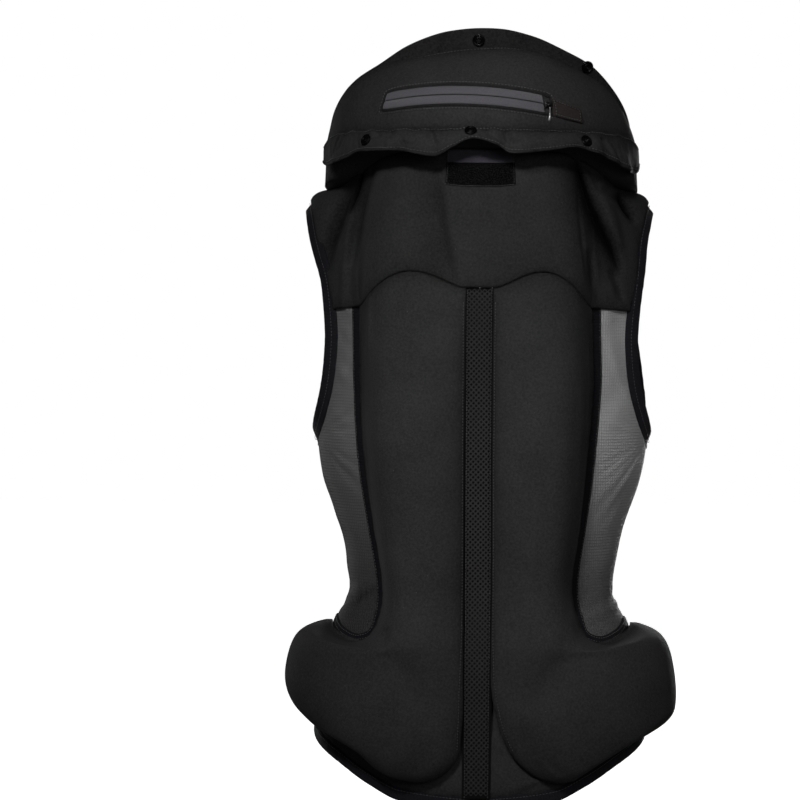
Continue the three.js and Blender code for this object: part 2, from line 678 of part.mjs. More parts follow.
const collarTurns = steps(COLLAR_STEPS).map((u) => lerp(-COLLAR_END, COLLAR_END, u));
add("collar_bladder", "softshell", (() => {
  const heights = (turn) => {
    const at = Math.abs(turn);
    return [
      ...steps(COLLAR_FOOT_ROWS).map((t) => lerp(collar.footZ(at), collar.seamZ(at), t)),
      ...steps(COLLAR_FACE_ROWS).slice(1).map((t) => lerp(collar.seamZ(at), collar.rimZ(at), t)),
    ];
  };
  const outer = collarTurns.map((turn) => heights(turn).map((z) => polar(turn, collarRadius(turn, z), z)));
  const inner = collarTurns.map((turn) => heights(turn).map((z) => {
    const at = Math.abs(turn);
    const rise = (z - collar.footZ(at)) / (collar.rimZ(at) - collar.footZ(at));
    const lean = (collar.rimR(at) - COLLAR_RIM - collar.innerR(at)) * rise * rise;
    return polar(turn, collar.innerR(at) + lean - COLLAR_INNER_PUFF * Math.sin(Math.PI * rise), z);
  }));
  return slab(outer, inner);
})());

// Rim flange
const flangeWidth = curve(FLANGE, "turn", "width");
const flangeLean = curve(FLANGE, "turn", "lean");

/** Point on the flange from its base (0) to its free edge (1), moved outward. */
function flange(turn, along, out) {
  const at = Math.abs(turn);
  const lean = radians(flangeLean(at));
  const reach = along * flangeWidth(at);
  const base = collar.rimZ(at) + GAP + FLANGE_CLOTH * Math.sin(lean);
  return polar(
    turn,
    collar.rimR(at) - FLANGE_INSET + reach * Math.sin(lean) + out * Math.cos(lean),
    base + reach * Math.cos(lean) - out * Math.sin(lean));
}

const flangeTurns = steps(FLANGE_STEPS).map((u) => lerp(-FLAP_END, FLAP_END, u));
add("collar_flange", "softshell", slab(
  flangeTurns.map((turn) => [0, 1].map((along) => flange(turn, along, FLANGE_CLOTH))),
  flangeTurns.map((turn) => [0, 1].map((along) => flange(turn, along, 0)))));

// Loose flap under the collar's seam
const flapEdge = curve(FLAP, "turn", "edgeZ");
const flapFlare = curve(FLAP, "turn", "flare");

/** Point on the flap from the collar's seam (0) to its free edge (1), moved outward. */
function flap(turn, along, out) {
  const top = collar.seamZ(Math.abs(turn));
  const radius = collar.bulgeR(Math.abs(turn)) + SURFACE_GAP + flapFlare(turn) * along ** FLAP_CURL;
  return polar(turn, radius + out, lerp(top, flapEdge(turn), along));
}

const flapTurns = steps(FLAP_STEPS).map((u) => lerp(-FLAP_END, FLAP_END, u));
add("collar_flap", "softshell", slab(
  flapTurns.map((turn) => steps(FLAP_ROWS).map((along) => flap(turn, along, FLAP_CLOTH))),
  flapTurns.map((turn) => steps(FLAP_ROWS).map((along) => flap(turn, along, 0)))));

// Collar zip
/** Point on the collar's outer face at a turn and height, moved outward. */
function collarFace(turn, z, out) {
  return polar(turn, collarRadius(turn, z) + out, z);
}

const zipMiddle = (turn) => {
  const share = (turn - COLLAR_ZIP.middle) / (COLLAR_ZIP.to - COLLAR_ZIP.middle);
  return COLLAR_ZIP.topZ - COLLAR_ZIP.sag * share * share;
};
add("collar_zip_tape", "zip_tape", (() => {
  const turns = steps(COLLAR_ZIP_STEPS).map((u) => lerp(COLLAR_ZIP.from, COLLAR_ZIP.to, u));
  const grid = (out) => turns.map((turn) => [-1, 0, 1].map(
    (s) => collarFace(turn, zipMiddle(turn) + s * COLLAR_ZIP.half, SURFACE_GAP + out)));
  return slab(grid(COLLAR_ZIP.depth), grid(0));
})());

add("collar_zip_garage", "softshell", (() => {
  const turns = steps(GARAGE.steps).map((u) => lerp(GARAGE.from, GARAGE.to, u));
  const grid = (out) => turns.map((turn) => [-1, 0, 1].map(
    (s) => collarFace(turn, GARAGE.middleZ + s * GARAGE.half, SURFACE_GAP + out)));
  return slab(grid(GARAGE.depth), grid(0));
})());

/** Small block lying on a face: centre, outward normal, width, height, depth. */
function block(at, normal, { width, height, depth }) {
  const across = new THREE.Vector3(0, 0, 1).cross(normal).normalize();
  const up = normal.clone().cross(across);
  const grid = (out) => [-1, 1].map((i) => [-1, 1].map((j) => at.clone()
    .addScaledVector(across, (i * width) / 2)
    .addScaledVector(up, (j * height) / 2)
    .addScaledVector(normal, out)));
  return slab(grid(depth), grid(0));
}

const sliderZ = zipMiddle(SLIDER.turn);
const sliderNormal = polar(SLIDER.turn, 1, 0);
const sliderSeat = collarFace(SLIDER.turn, sliderZ, SURFACE_GAP + COLLAR_ZIP.depth + GAP);
add("collar_zip_slider", "zip_metal", block(sliderSeat, sliderNormal, SLIDER));
const pullSeat = sliderSeat.clone()
  .addScaledVector(sliderNormal, SLIDER.depth + GAP)
  .add(new THREE.Vector3(0, 0, -PULL.drop + PULL.height / 2));
add("collar_zip_pull", "zip_metal", block(pullSeat, sliderNormal, PULL));

// Press studs
/** Press stud standing on a point, its axis along the normal. */
function snap(at, normal) {
  const { radius, hole, height } = SNAP;
  const shoulder = [radius, SNAP.shoulder * height];
  const crown = [SNAP.crown * radius, height];
  const profile = [[hole, 0], [radius, 0], shoulder, crown, [hole, height], [hole, 0]];
  const ring = new THREE.LatheGeometry(profile.map(([x, y]) => new THREE.Vector2(x, y)), SNAP.segments);
  ring.applyQuaternion(new THREE.Quaternion().setFromUnitVectors(new THREE.Vector3(0, 1, 0), normal));
  return ring.translate(at.x, at.y, at.z);
}

/** Outward normal of a surface given as surface(turn, along, out). */
function normalOn(surface, turn, along) {
  const { turn: side, along: step } = NORMAL_REACH;
  const down = surface(turn, along + step, 0).sub(surface(turn, along - step, 0));
  const across = surface(turn + side, along, 0).sub(surface(turn - side, along, 0));
  const normal = down.cross(across).normalize();
  return normal.dot(polar(turn, 1, 0)) < 0 ? normal.negate() : normal;
}

for (const [surface, cloth, snaps] of [[flange, FLANGE_CLOTH, SNAP_FLANGE], [flap, FLAP_CLOTH, SNAP_FLAP]]) {
  for (const { name, turn, along, gap } of snaps) {
    const normal = normalOn(surface, turn, along);
    const seat = surface(turn, along, cloth).addScaledVector(normal, gap);
    add(name, "snap_metal", snap(seat, normal));
  }
}

// Hook patch and its tab on the yoke
for (const [name, { from, to, depth }] of [["hook_tab", HOOK_TAB], ["hook_patch", HOOK_PATCH]]) {
  const ribs = steps(HOOK_COLUMNS).map((u) => backRib(lerp(-HOOK_HALF, HOOK_HALF, u)));
  const lift = new THREE.Vector3(0, -1, 0);
  const grid = (out) => ribs.map((rib) => steps(HOOK_ROWS).map(
    (w) => yokeOuter(rib, lerp(from, to, w)).addScaledVector(lift, out)));
  add(name, "hook_tape", slab(grid(SURFACE_GAP + depth), grid(SURFACE_GAP)));
}

export default vest;
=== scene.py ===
"""Airbag vest with its chambers filled, in the shape it has when worn: cloth, seams, trim and finishes."""

import logging
import math
from collections.abc import Callable, Sequence
from dataclasses import dataclass
from enum import Enum

import bmesh
import bpy
import numpy as np
from bpy.types import Material, Mesh, Node, NodeSocket, NodeTree, Object
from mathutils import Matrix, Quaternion, Vector


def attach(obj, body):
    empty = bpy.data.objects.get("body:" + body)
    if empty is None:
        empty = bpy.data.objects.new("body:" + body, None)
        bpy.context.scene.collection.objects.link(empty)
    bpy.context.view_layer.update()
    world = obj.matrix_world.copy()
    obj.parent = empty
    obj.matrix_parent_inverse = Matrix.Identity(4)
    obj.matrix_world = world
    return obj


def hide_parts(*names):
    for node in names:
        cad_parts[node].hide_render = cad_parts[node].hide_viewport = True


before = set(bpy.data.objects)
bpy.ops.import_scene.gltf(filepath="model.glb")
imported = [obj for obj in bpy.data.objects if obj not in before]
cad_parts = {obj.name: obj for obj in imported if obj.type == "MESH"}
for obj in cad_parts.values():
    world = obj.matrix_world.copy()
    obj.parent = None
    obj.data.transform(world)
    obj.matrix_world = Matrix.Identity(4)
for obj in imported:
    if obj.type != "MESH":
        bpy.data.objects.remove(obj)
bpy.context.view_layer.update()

Array = np.ndarray
Colour = tuple[float, float, float]
Line = tuple[Array, Array]
MM = 0.001
SIDES = ((1, "right"), (-1, "left"))
log = logging.getLogger("vest")


def lerp(a: Array, b: Array, t: Array) -> Array:
    """Value between a and b at the share t."""
    return a + (b - a) * t


def smoothstep(x: Array, low: float, high: float) -> Array:
    """Smooth rise from 0 at low to 1 at high."""
    t = np.clip((x - low) / (high - low), 0, 1)
    return t * t * (3 - 2 * t)


def steps(count: int) -> Array:
    """Even shares from 0 to 1."""
    return np.linspace(0, 1, count + 1)


def eased(count: int) -> Array:
    """Shares from 0 to 1 that lie closer together towards both ends."""
    return (1 - np.cos(np.pi * steps(count))) / 2


def unit(vectors: Array) -> Array:
    """Vectors of length 1 in the same directions."""
    return vectors / np.maximum(np.linalg.norm(vectors, axis=-1, keepdims=True), 1e-9)


def hump(share: Array) -> Array:
    """Rise from 0 to 1 and back over shares from 0 to 1, flat in the middle."""
    return 1 - np.abs(2 * share - 1) ** 3


def arch(share: Array) -> Array:
    """Half wave over shares from 0 to 1."""
    return np.sin(np.pi * np.clip(share, 0, 1))


def bell(distance: Array, reach: float) -> Array:
    """Bell curve, 1 in the middle."""
    return np.exp(-(distance / reach) ** 2)


def nearness(distance: Array, reach: float = 5.0) -> Array:
    """Nearness of a seam or an edge, 1 on it."""
    return np.exp(-distance / reach)


def stacked(*parts: Array) -> Array:
    """Arrays brought to one shape and put together along a new last axis."""
    return np.stack(np.broadcast_arrays(*parts), axis=-1)


def lengths(points: Array, closed: bool = False) -> Array:
    """Length along a line at each point, and at the first point again where it is closed."""
    line = np.concatenate([points, points[:1]]) if closed else points
    return np.concatenate([[0], np.cumsum(np.linalg.norm(np.diff(line, axis=0), axis=1))])


def hermite(t: Array, start: Array, first: Array, end: Array, last: Array) -> Array:
    """Cubic between two values with a tangent at each."""
    return ((2 * t**3 - 3 * t**2 + 1) * start + (t**3 - 2 * t**2 + t) * first
            + (3 * t**2 - 2 * t**3) * end + (t**3 - t**2) * last)


SOFT_WEIGHTS = ((-1, 0.15), (-0.5, 0.2), (0, 0.3), (0.5, 0.2), (1, 0.15))


class TableCurve:
    """Smooth curve through two columns of a table, without overshoot."""

    def __init__(self, at: Sequence[float], value: Sequence[float], soften: float = 0.0) -> None:
        """Sort the rows and find the tangents.

        Args:
            at: the column that is looked up.
            value: the column that is returned.
            soften: reach over which the curve is averaged.
        """
        self.soften = soften
        order = np.argsort(at)
        self.at = np.asarray(at, float)[order]
        self.value = np.asarray(value, float)[order]
        slope = np.diff(self.value) / np.diff(self.at)
        product = slope[:-1] * slope[1:]
        total = np.where(np.abs(slope[:-1] + slope[1:]) < 1e-9, 1, slope[:-1] + slope[1:])
        inner = np.where(product > 0, 2 * product / total, 0)
        self.tangent = np.concatenate([slope[:1], inner, slope[-1:]])

    def __call__(self, query: Array) -> Array:
        """Value of the curve at each query.

        Args:
            query: where to read the curve.

        Returns:
            The values there.
        """
        if not self.soften:
            return self._exact(query)
        return sum(self._exact(np.asarray(query) + self.soften * k) * part for k, part in SOFT_WEIGHTS)

    def _exact(self, query: Array) -> Array:
        """Value of the unsoftened curve.

        Args:
            query: where to read the curve.

        Returns:
            The values there.
        """
        q = np.clip(query, self.at[0], self.at[-1])
        i = np.clip(np.searchsorted(self.at[1:], q, side="left"), 0, len(self.at) - 2)
        width = self.at[i + 1] - self.at[i]
        return hermite((q - self.at[i]) / width, self.value[i], width * self.tangent[i],
                       self.value[i + 1], width * self.tangent[i + 1])


def curves(table: Sequence[Sequence[float]], soften: float = 0.0) -> list[TableCurve]:
    """Curves of a table's other columns over its first."""
    first, *others = np.array(table, float).T
    return [TableCurve(first, column, soften) for column in others]


class Path:
    """Smooth centripetal path through points, by index."""

    def __init__(self, points: Sequence[Sequence[float]], closed: bool = False) -> None:
        """Work out one cubic for each span.

        Args:
            points: the points to pass, two or three numbers each.
            closed: whether the last point joins the first.
        """
        p = np.asarray(points, float)
        if closed:
            before, start, end, after = np.roll(p, 1, 0), p, np.roll(p, -1, 0), np.roll(p, -2, 0)
        else:
            line = np.concatenate([[2 * p[0] - p[1]], p, [2 * p[-1] - p[-2]]])
            before, start, end, after = line[:-3], line[1:-2], line[2:-1], line[3:]
        gaps = [np.sqrt(np.linalg.norm(b - a, axis=1, keepdims=True))
                for a, b in ((before, start), (start, end), (end, after))]
        first = (start - before) / gaps[0] - (end - before) / (gaps[0] + gaps[1]) + (end - start) / gaps[1]
        last = (end - start) / gaps[1] - (after - start) / (gaps[1] + gaps[2]) + (after - end) / gaps[2]
        self.start, self.end = start, end
        self.first, self.last = first * gaps[1], last * gaps[1]

    def __call__(self, share: Array) -> Array:
        """Points at shares of the path, counted by its spans.

        Args:
            share: shares from 0 to 1.

        Returns:
            The points.
        """
        spans = len(self.start)
        at = np.clip(np.asarray(share, float), 0, 1) * spans
        i = np.clip(np.floor(at).astype(int), 0, spans - 1)
        return hermite((at - i)[..., None], self.start[i], self.first[i], self.end[i], self.last[i])


class BentPath:
    """Path with a corner at one of its points."""

    def __init__(self, points: Sequence[Sequence[float]], corner: int) -> None:
        """Split the points at the corner."""
        self.before, self.after = Path(points[:corner + 1]), Path(points[corner:])
        self.share = corner / (len(points) - 1)

    def __call__(self, share: Array) -> Array:
        """Points at shares of the whole path.

        Args:
            share: shares from 0 to 1.

        Returns:
            The points.
        """
        s = np.asarray(share, float)
        head = self.before(np.clip(s / self.share, 0, 1))
        tail = self.after(np.clip((s - self.share) / (1 - self.share), 0, 1))
        return np.where((s <= self.share)[..., None], head, tail)


class Ripple:
    """Fixed uneven waves along a length, for the small puckers beside a seam."""

    def __init__(self, seed: int, wavelength: float, waves: int = 6) -> None:
        """Draw the waves once.

        Args:
            seed: picks the waves.
            wavelength: their mean length, in the units of the query.
            waves: how many are added up.
        """
        rng = np.random.default_rng(seed)
        self.rate = 2 * np.pi / (wavelength * rng.uniform(0.55, 1.9, waves))
        self.phase = rng.uniform(0, 2 * np.pi, waves)
        self.part = rng.uniform(0.5, 1, waves)
        self.part /= self.part.sum()

    def __call__(self, at: Array) -> Array:
        """Height of the waves, from -1 to 1."""
        angle = np.asarray(at, float)[..., None] * self.rate + self.phase
        return (self.part * np.sin(angle)).sum(-1) * 1.6


FOLD_TAPER = 0.6
KEEN_FALL = 1.3
SOFT_FALL = 0.8


class Effect(Enum):
    """What a fold does to the cloth: raises it, draws it sideways, or darkens its colour with painted shade.
    """

    HEIGHT = "height"
    LAP = "lap"
    SHADE = "shade"


@dataclass(frozen=True)
class Fold:
    """A fold in the back, by its line in x and z, its half width on the right and its height.

    The left side has the same half width unless another one is given.
    """

    line: tuple[tuple[float, float], ...]
    width: float
    height: float
    left_width: float = 0.0
    brow: float = 0.35
    lap: float = 0.0
    # shade: painted shade, how much darker the fold's colour is painted, most along its core
    shade: float = 0.0
    keen: bool = False

    def share(self, x: Array, z: Array) -> Array:
        """Nearness to the fold's line, 1 on it, at places seen from behind.

        Args:
            x: places across, in millimetres.
            z: heights, in millimetres.

        Returns:
            The share of the fold's height.
        """
        points = np.asarray(self.line, float)
        length = lengths(points)
        nearest = np.full(np.shape(x), np.inf)
        along, wide = np.zeros(np.shape(x)), np.full(np.shape(x), self.width)
        for a, b, start, end in zip(points[:-1], points[1:], length[:-1], length[1:]):
            d = b - a
            t = np.clip(((x - a[0]) * d[0] + (z - a[1]) * d[1]) / (d @ d), 0, 1)
            gap = np.hypot(x - a[0] - t * d[0], z - a[1] - t * d[1])
            right = d[0] * (z - a[1]) - d[1] * (x - a[0]) > 0
            side_width = np.where(right, self.width, self.left_width or self.width)
            along = np.where(gap < nearest, lerp(start, end, t), along)
            wide = np.where(gap < nearest, side_width, wide)
            nearest = np.minimum(gap, nearest)
        r = nearest / wide
        taper = np.clip(arch(along / length[-1]), 0, 1) ** FOLD_TAPER
        if self.keen:
            return taper * np.exp(-KEEN_FALL * r)
        return taper * (1 - self.brow * r**2) * np.exp(-SOFT_FALL * r**2)


def folded(folds: Sequence[Fold], x: Array, z: Array, effect: Effect = Effect.HEIGHT) -> Array:
    """Sum of one effect of the folds at places seen from behind."""
    parts = ((getattr(fold, effect.value), fold) for fold in folds)
    return sum((size * fold.share(x, z) for size, fold in parts if size), np.zeros(np.shape(x)))


def arc_map(points: Array) -> Array:
    """Cloth map of a grid in metres: the lengths along its rows and down its columns.

    Args:
        points: the grid, in millimetres.

    Returns:
        Two lengths at each point.
    """
    across = np.linalg.norm(np.diff(points, axis=1), axis=2)
    down = np.linalg.norm(np.diff(points, axis=0), axis=2)
    u = np.pad(np.cumsum(across, axis=1), ((0, 0), (1, 0)))
    v = np.pad(np.cumsum(down, axis=0), ((1, 0), (0, 0)))
    return np.stack([u - u[:, -1:] / 2, v], axis=-1) * MM


def grid_normals(points: Array, centre: Array) -> Array:
    """Normals of a grid of points, turned away from a centre.

    Args:
        points: the grid.
        centre: the point they turn away from.

    Returns:
        Unit normals.
    """
    across = np.gradient(points, axis=1)
    down = np.gradient(points, axis=0)
    normal = unit(np.cross(across, down))
    away = ((points - centre) * normal).sum(-1, keepdims=True)
    return np.where(away < 0, -normal, normal)


def link_object(name: str, data: bpy.types.ID) -> Object:
    """Object of a mesh, lamp or camera, linked to the scene.

    Args:
        name: name of the object.
        data: its mesh, lamp or camera.

    Returns:
        The object.
    """
    obj = bpy.data.objects.new(name, data)
    bpy.context.scene.collection.objects.link(obj)
    return obj


def new_object(name: str, vertices: Array, faces: Array, uv: Array | None = None) -> Object:
    """Mesh object in the row frame from millimetres.

    Args:
        name: name of the piece.
        vertices: points, in millimetres.
        faces: rows of vertex numbers, all of one length.
        uv: cloth map of each face corner, in metres.

    Returns:
        The object, linked to the scene.
    """
    points = np.asarray(vertices, float) * MM
    mesh = bpy.data.meshes.new(name)
    mesh.from_pydata(points.tolist(), [], np.asarray(faces).tolist())
    if uv is not None:
        layer = mesh.uv_layers.new(name="cloth")
        layer.data.foreach_set("uv", np.asarray(uv, np.float32).ravel())
    mesh.shade_smooth()
    return link_object(name, mesh)


def slab(name: str, outer: Array, inner: Array, uv: Array, ring: bool = False, rim: float = 0.0,
         seam: Array | None = None) -> Object:
    """Closed piece of cloth or padding between two grids of points.

    Args:
        name: name of the piece.
        outer: outer face, rows by columns by 3, in millimetres.
        inner: inner face of the same size.
        uv: cloth map of the grid in metres, with one more row on a ring.
        ring: whether the last row joins the first.
        rim: how far the rounded edge stands out, in millimetres.
        seam: nearness of a seam at each point, plus painted shade in deep folds, kept as an attribute.

    Returns:
        The object.
    """
    rows, columns = outer.shape[:2]
    turn = np.arange(rows + 1) % rows if ring else np.arange(rows)
    out, back = outer[turn], inner[turn]
    count, last = len(turn), columns - 1

    def edge(here: Array, there: Array, beside: Array) -> Array:
        """Middle of an edge, moved out from the grid."""
        return (here + there) / 2 + rim * unit(here - beside)

    left = edge(out[:, 0], back[:, 0], out[:, 1])
    right = edge(out[:, last], back[:, last], out[:, last - 1])
    top = edge(out[0], back[0], out[1])
    bottom = edge(out[-1], back[-1], out[-2])
    points = np.concatenate([out.reshape(-1, 3), back.reshape(-1, 3), left, right, top, bottom])
    maps = np.concatenate([uv.reshape(-1, 2), uv.reshape(-1, 2), uv[:, 0], uv[:, last], uv[0], uv[-1]])
    near = np.ones((count, columns)) if seam is None else seam[turn]
    nears = np.concatenate([near.ravel(), near.ravel(), near[:, 0], near[:, last], near[0], near[-1]])
    o = np.arange(count * columns).reshape(count, columns)
    n = o + o.size
    lf = 2 * o.size + np.arange(count)
    rt = lf + count
    tp = 2 * o.size + 2 * count + np.arange(columns)
    bt = tp + columns

    def quads(*corners: Array) -> Array:
        """Faces from four equal arrays of numbers."""
        return np.stack([c.ravel() for c in corners], axis=1)

    faces = [
        quads(o[:-1, :-1], o[1:, :-1], o[1:, 1:], o[:-1, 1:]),
        quads(n[:-1, :-1], n[:-1, 1:], n[1:, 1:], n[1:, :-1]),
        quads(o[1:, 0], o[:-1, 0], lf[:-1], lf[1:]),
        quads(lf[1:], lf[:-1], n[:-1, 0], n[1:, 0]),
        quads(o[:-1, last], o[1:, last], rt[1:], rt[:-1]),
        quads(rt[:-1], rt[1:], n[1:, last], n[:-1, last]),
    ]
    if not ring:
        faces += [
            quads(o[0, :-1], o[0, 1:], tp[1:], tp[:-1]),
            quads(tp[:-1], tp[1:], n[0, 1:], n[0, :-1]),
            quads(o[-1, 1:], o[-1, :-1], bt[:-1], bt[1:]),
            quads(bt[1:], bt[:-1], n[-1, :-1], n[-1, 1:]),
            np.array([
                [o[0, 0], tp[0], n[0, 0], lf[0]],
                [o[0, last], rt[0], n[0, last], tp[last]],
                [o[-1, 0], lf[-1], n[-1, 0], bt[0]],
                [o[-1, last], bt[last], n[-1, last], rt[-1]],
            ]),
        ]
    corners = np.concatenate(faces)
    a, b, c, d = (points[corners[:, k]] for k in range(4))
    volume = (a * np.cross(b, c)).sum() + (a * np.cross(c, d)).sum()
    if volume < 0:
        corners = corners[:, ::-1]
    used = np.unique(corners)
    actual = np.arange(len(points))
    if ring:
        for block in (o, n):
            actual[block[-1]] = block[0]
        actual[lf[-1]], actual[rt[-1]] = lf[0], rt[0]
    keep = np.unique(actual[used])
    place = np.zeros(len(points), int)
    place[keep] = np.arange(len(keep))
    obj = new_object(name, points[keep], place[actual[corners]], maps[corners.ravel()])
    attribute = obj.data.attributes.new("seam", "FLOAT", "POINT")
    attribute.data.foreach_set("value", nears[keep].astype(np.float32))
    return obj


class Slot(Enum):
    """Material slots of the record."""

    SOFTSHELL = "softshell"
    SIDE_MESH = "side_mesh"
    SPACER = "spacer_mesh"
    BINDING = "binding"
    ZIP_TAPE = "zip_tape"
    ZIP_METAL = "zip_metal"
    SNAP = "snap_metal"
    HOOK = "hook_tape"


def dress(obj: Object, material: Material) -> None:
    """Give a piece its material."""
    obj.data.materials.append(material)


def settle(obj: Object, slot: Slot, *nodes: str, finish: Material | None = None) -> Object:
    """Dress a finished piece and tie it to the frame.

    Args:
        obj: the piece.
        slot: the record's slot for the piece; not used.
        nodes: the frame's nodes that it stands for.
        finish: its material, if it has none yet.

    Returns:
        The piece.
    """
    if finish:
        dress(obj, finish)
    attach(obj, "root")
    if nodes:
        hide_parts(*nodes)
    log.info("%s: %d faces", obj.name, len(obj.data.polygons))
    return obj


def declare_sheet(obj: Object, grid: Array) -> None:
    """Log a sheet's lengths along its grid and its area when laid flat.

    Args:
        obj: the piece.
        grid: its middle or outer face, in millimetres.
    """
    right, below = np.diff(grid, axis=1), np.diff(grid, axis=0)
    across = np.linalg.norm(right, axis=2).sum(1).max() * MM
    down = np.linalg.norm(below, axis=2).sum(0).max() * MM
    area = np.linalg.norm(np.cross(right[:-1], below[:, :-1]), axis=2).sum() * MM * MM
    log.info("%s: flat %.0f x %.0f mm, %.4f m2", obj.name, across / MM, down / MM, area)


class NodeKit:
    """Short way to add and link nodes in one tree."""

    def __init__(self, tree: NodeTree) -> None:
        """Keep the tree that nodes go into."""
        self.tree = tree

    def put(self, node: Node, key: str | int, value: object) -> None:
        """Link a socket to a node's input, or set a plain value there.

        Args:
            node: the node.
            key: name or number of its input.
            value: a socket or a value.
        """
        if isinstance(value, NodeSocket):
            self.tree.links.new(value, node.inputs[key])
        else:
            node.inputs[key].default_value = value

    def add(self, kind: str, values: dict | None = None, **settings: object) -> Node:
        """Add a node.

        Args:
            kind: the node's type.
            values: input values or sockets, by input name or number.
            settings: properties of the node.

        Returns:
            The node.
        """
        node = self.tree.nodes.new(kind)
        for name, value in settings.items():
            setattr(node, name, value)
        for key, value in (values or {}).items():
            self.put(node, key, value)
        return node

    def given(self) -> dict[str, NodeSocket]:
        """Inputs of the tree, by name."""
        return {socket.name: socket for socket in self.add("NodeGroupInput").outputs}

    def first(self, kind: str, values: dict | None = None, **settings: object) -> NodeSocket:
        """First output of a new node."""
        return self.add(kind, values, **settings).outputs[0]

    def math(self, operation: str, *values: object) -> NodeSocket:
        """Result of a math node on sockets or numbers."""
        return self.first("ShaderNodeMath", dict(enumerate(values)), operation=operation)

    def total(self, start: float, *parts: tuple[NodeSocket, float]) -> NodeSocket:
        """Sum of a number and of sockets times their weights.

        Args:
            start: the number.
            parts: sockets with their weights.

        Returns:
            The sum.
        """
        result = start
        for socket, weight in parts:
            result = self.math("MULTIPLY_ADD", socket, weight, result)
        return result

    def ramp(self, value: object, low: float, high: float, start: object, end: object) -> NodeSocket:
        """Value taken from one range to another and held at its ends."""
        return self.first("ShaderNodeMapRange", dict(enumerate((value, low, high, start, end))))

    def axes(self, vector: NodeSocket) -> Sequence[NodeSocket]:
        """The three parts of a vector."""
        return self.add("ShaderNodeSeparateXYZ", {0: vector}).outputs

    def mix(self, share: object, first: object, second: object) -> NodeSocket:
        """Colour between two colours or sockets.

        Args:
            share: share of the second.
            first: first colour.
            second: second colour.

        Returns:
            The colour.
        """
        node = self.add("ShaderNodeMix", data_type="RGBA")
        for key, value in ((0, share), (6, first), (7, second)):
            self.put(node, key, (*value, 1) if isinstance(value, tuple) else value)
        return node.outputs[2]


class FinishGroups:
    """Shader groups that several finishes share."""

    def __init__(self) -> None:
        """Build each group once."""
        self.weave = self._weave()
        self.fibre = self._fibre()
        self.rib = self._rib()

    @staticmethod
    def _start(name: str, inputs: Sequence[str], outputs: Sequence[str]) -> tuple[NodeKit, dict, Node]:
        """Empty group with a Vector input, named number inputs and number outputs.

        Args:
            name: name of the group.
            inputs: names of its number inputs.
            outputs: names of its outputs.

        Returns:
            Its kit, its inputs by name and its output node.
        """
        tree = bpy.data.node_groups.new(name, "ShaderNodeTree")
        tree.interface.new_socket("Vector", in_out="INPUT", socket_type="NodeSocketVector")
        for way, labels in (("INPUT", inputs), ("OUTPUT", outputs)):
            for label in labels:
                tree.interface.new_socket(label, in_out=way, socket_type="NodeSocketFloat")
        kit = NodeKit(tree)
        return kit, kit.given(), kit.add("NodeGroupOutput")

    def _weave(self) -> NodeTree:
        """Fine twill: Height of the threads, from the cloth map and the thread pitch.

        Returns:
            The group.
        """
        kit, given, out = self._start("fine_twill", ["Pitch"], ["Height"])
        parts = kit.axes(given["Vector"])
        turn = kit.math("DIVIDE", 2 * math.pi, given["Pitch"])
        u, v = (kit.math("MULTIPLY", parts[k], turn) for k in range(2))
        warp = kit.math("SINE", kit.math("ADD", u, v))
        weft = kit.math("SINE", kit.total(0.0, (u, 0.5), (v, -1.5)))
        kit.put(out, "Height", kit.total(0.5, (warp, 0.35), (weft, 0.15)))
        return kit.tree

    def _fibre(self) -> NodeTree:
        """Uneven dye, short fibres and lint: three masks from one vector.

        Returns:
            The group.
        """
        kit, given, out = self._start("fibre_and_dye", ["Grain", "Blotch"], ["Grain", "Blotch", "Lint"])
        place = {"Vector": given["Vector"]}
        grain = kit.first("ShaderNodeTexNoise", place | {"Scale": given["Grain"], "Detail": 3.0})
        blotch = kit.first("ShaderNodeTexNoise", place | {"Scale": given["Blotch"], "Detail": 4.0})
        specks = kit.add("ShaderNodeTexVoronoi", place | {"Scale": 95.0}).outputs
        lint = kit.math("LESS_THAN", specks["Distance"], 0.055)
        chance = kit.first("ShaderNodeSeparateColor", {0: specks["Color"]})
        few = kit.math("GREATER_THAN", chance, 0.72)
        kit.put(out, "Grain", kit.ramp(grain, 0.27, 0.73, 0.0, 1.0))
        kit.put(out, "Blotch", blotch)
        kit.put(out, "Lint", kit.math("MULTIPLY", lint, few))
        return kit.tree

    def _rib(self) -> NodeTree:
        """Ribs across a tape: Height from the map's length and the rib pitch.

        Returns:
            The group.
        """
        kit, given, out = self._start("tape_ribs", ["Pitch", "Slant"], ["Height"])
        parts = kit.axes(given["Vector"])
        lean = kit.math("MULTIPLY", kit.math("ABSOLUTE", parts[0]), given["Slant"])
        turn = kit.math("DIVIDE", 2 * math.pi, given["Pitch"])
        wave = kit.math("SINE", kit.math("MULTIPLY", kit.math("ADD", parts[1], lean), turn))
        kit.put(out, "Height", kit.total(0.5, (wave, 0.5)))
        return kit.tree


@dataclass
class Surface:
    """A material under way: its kit, shader, cloth map and place in space."""

    kit: NodeKit
    shader: Node
    map: NodeSocket
    place: NodeSocket

    def group(self, tree: NodeTree, vector: NodeSocket, **values: float) -> dict:
        """Place a shared group and return its outputs by name."""
        node = self.kit.add("ShaderNodeGroup", {"Vector": vector} | values, node_tree=tree)
        return {socket.name: socket for socket in node.outputs}

    def feed(self, **values: object) -> None:
        """Link sockets to the shader's inputs or set numbers there, with underscores for spaces."""
        for name, value in values.items():
            self.kit.put(self.shader, name.replace("_", " "), value)

    def bump(self, height: NodeSocket, depth: float) -> None:
        """Raise the surface by a height from 0 to 1 times a depth in metres."""
        self.feed(Normal=self.kit.first("ShaderNodeBump", {"Height": height, "Distance": depth}))

    def seam(self) -> NodeSocket:
        """Nearness of a seam, plus painted shade in deep folds."""
        return self.kit.add("ShaderNodeAttribute", attribute_name="seam").outputs["Fac"]


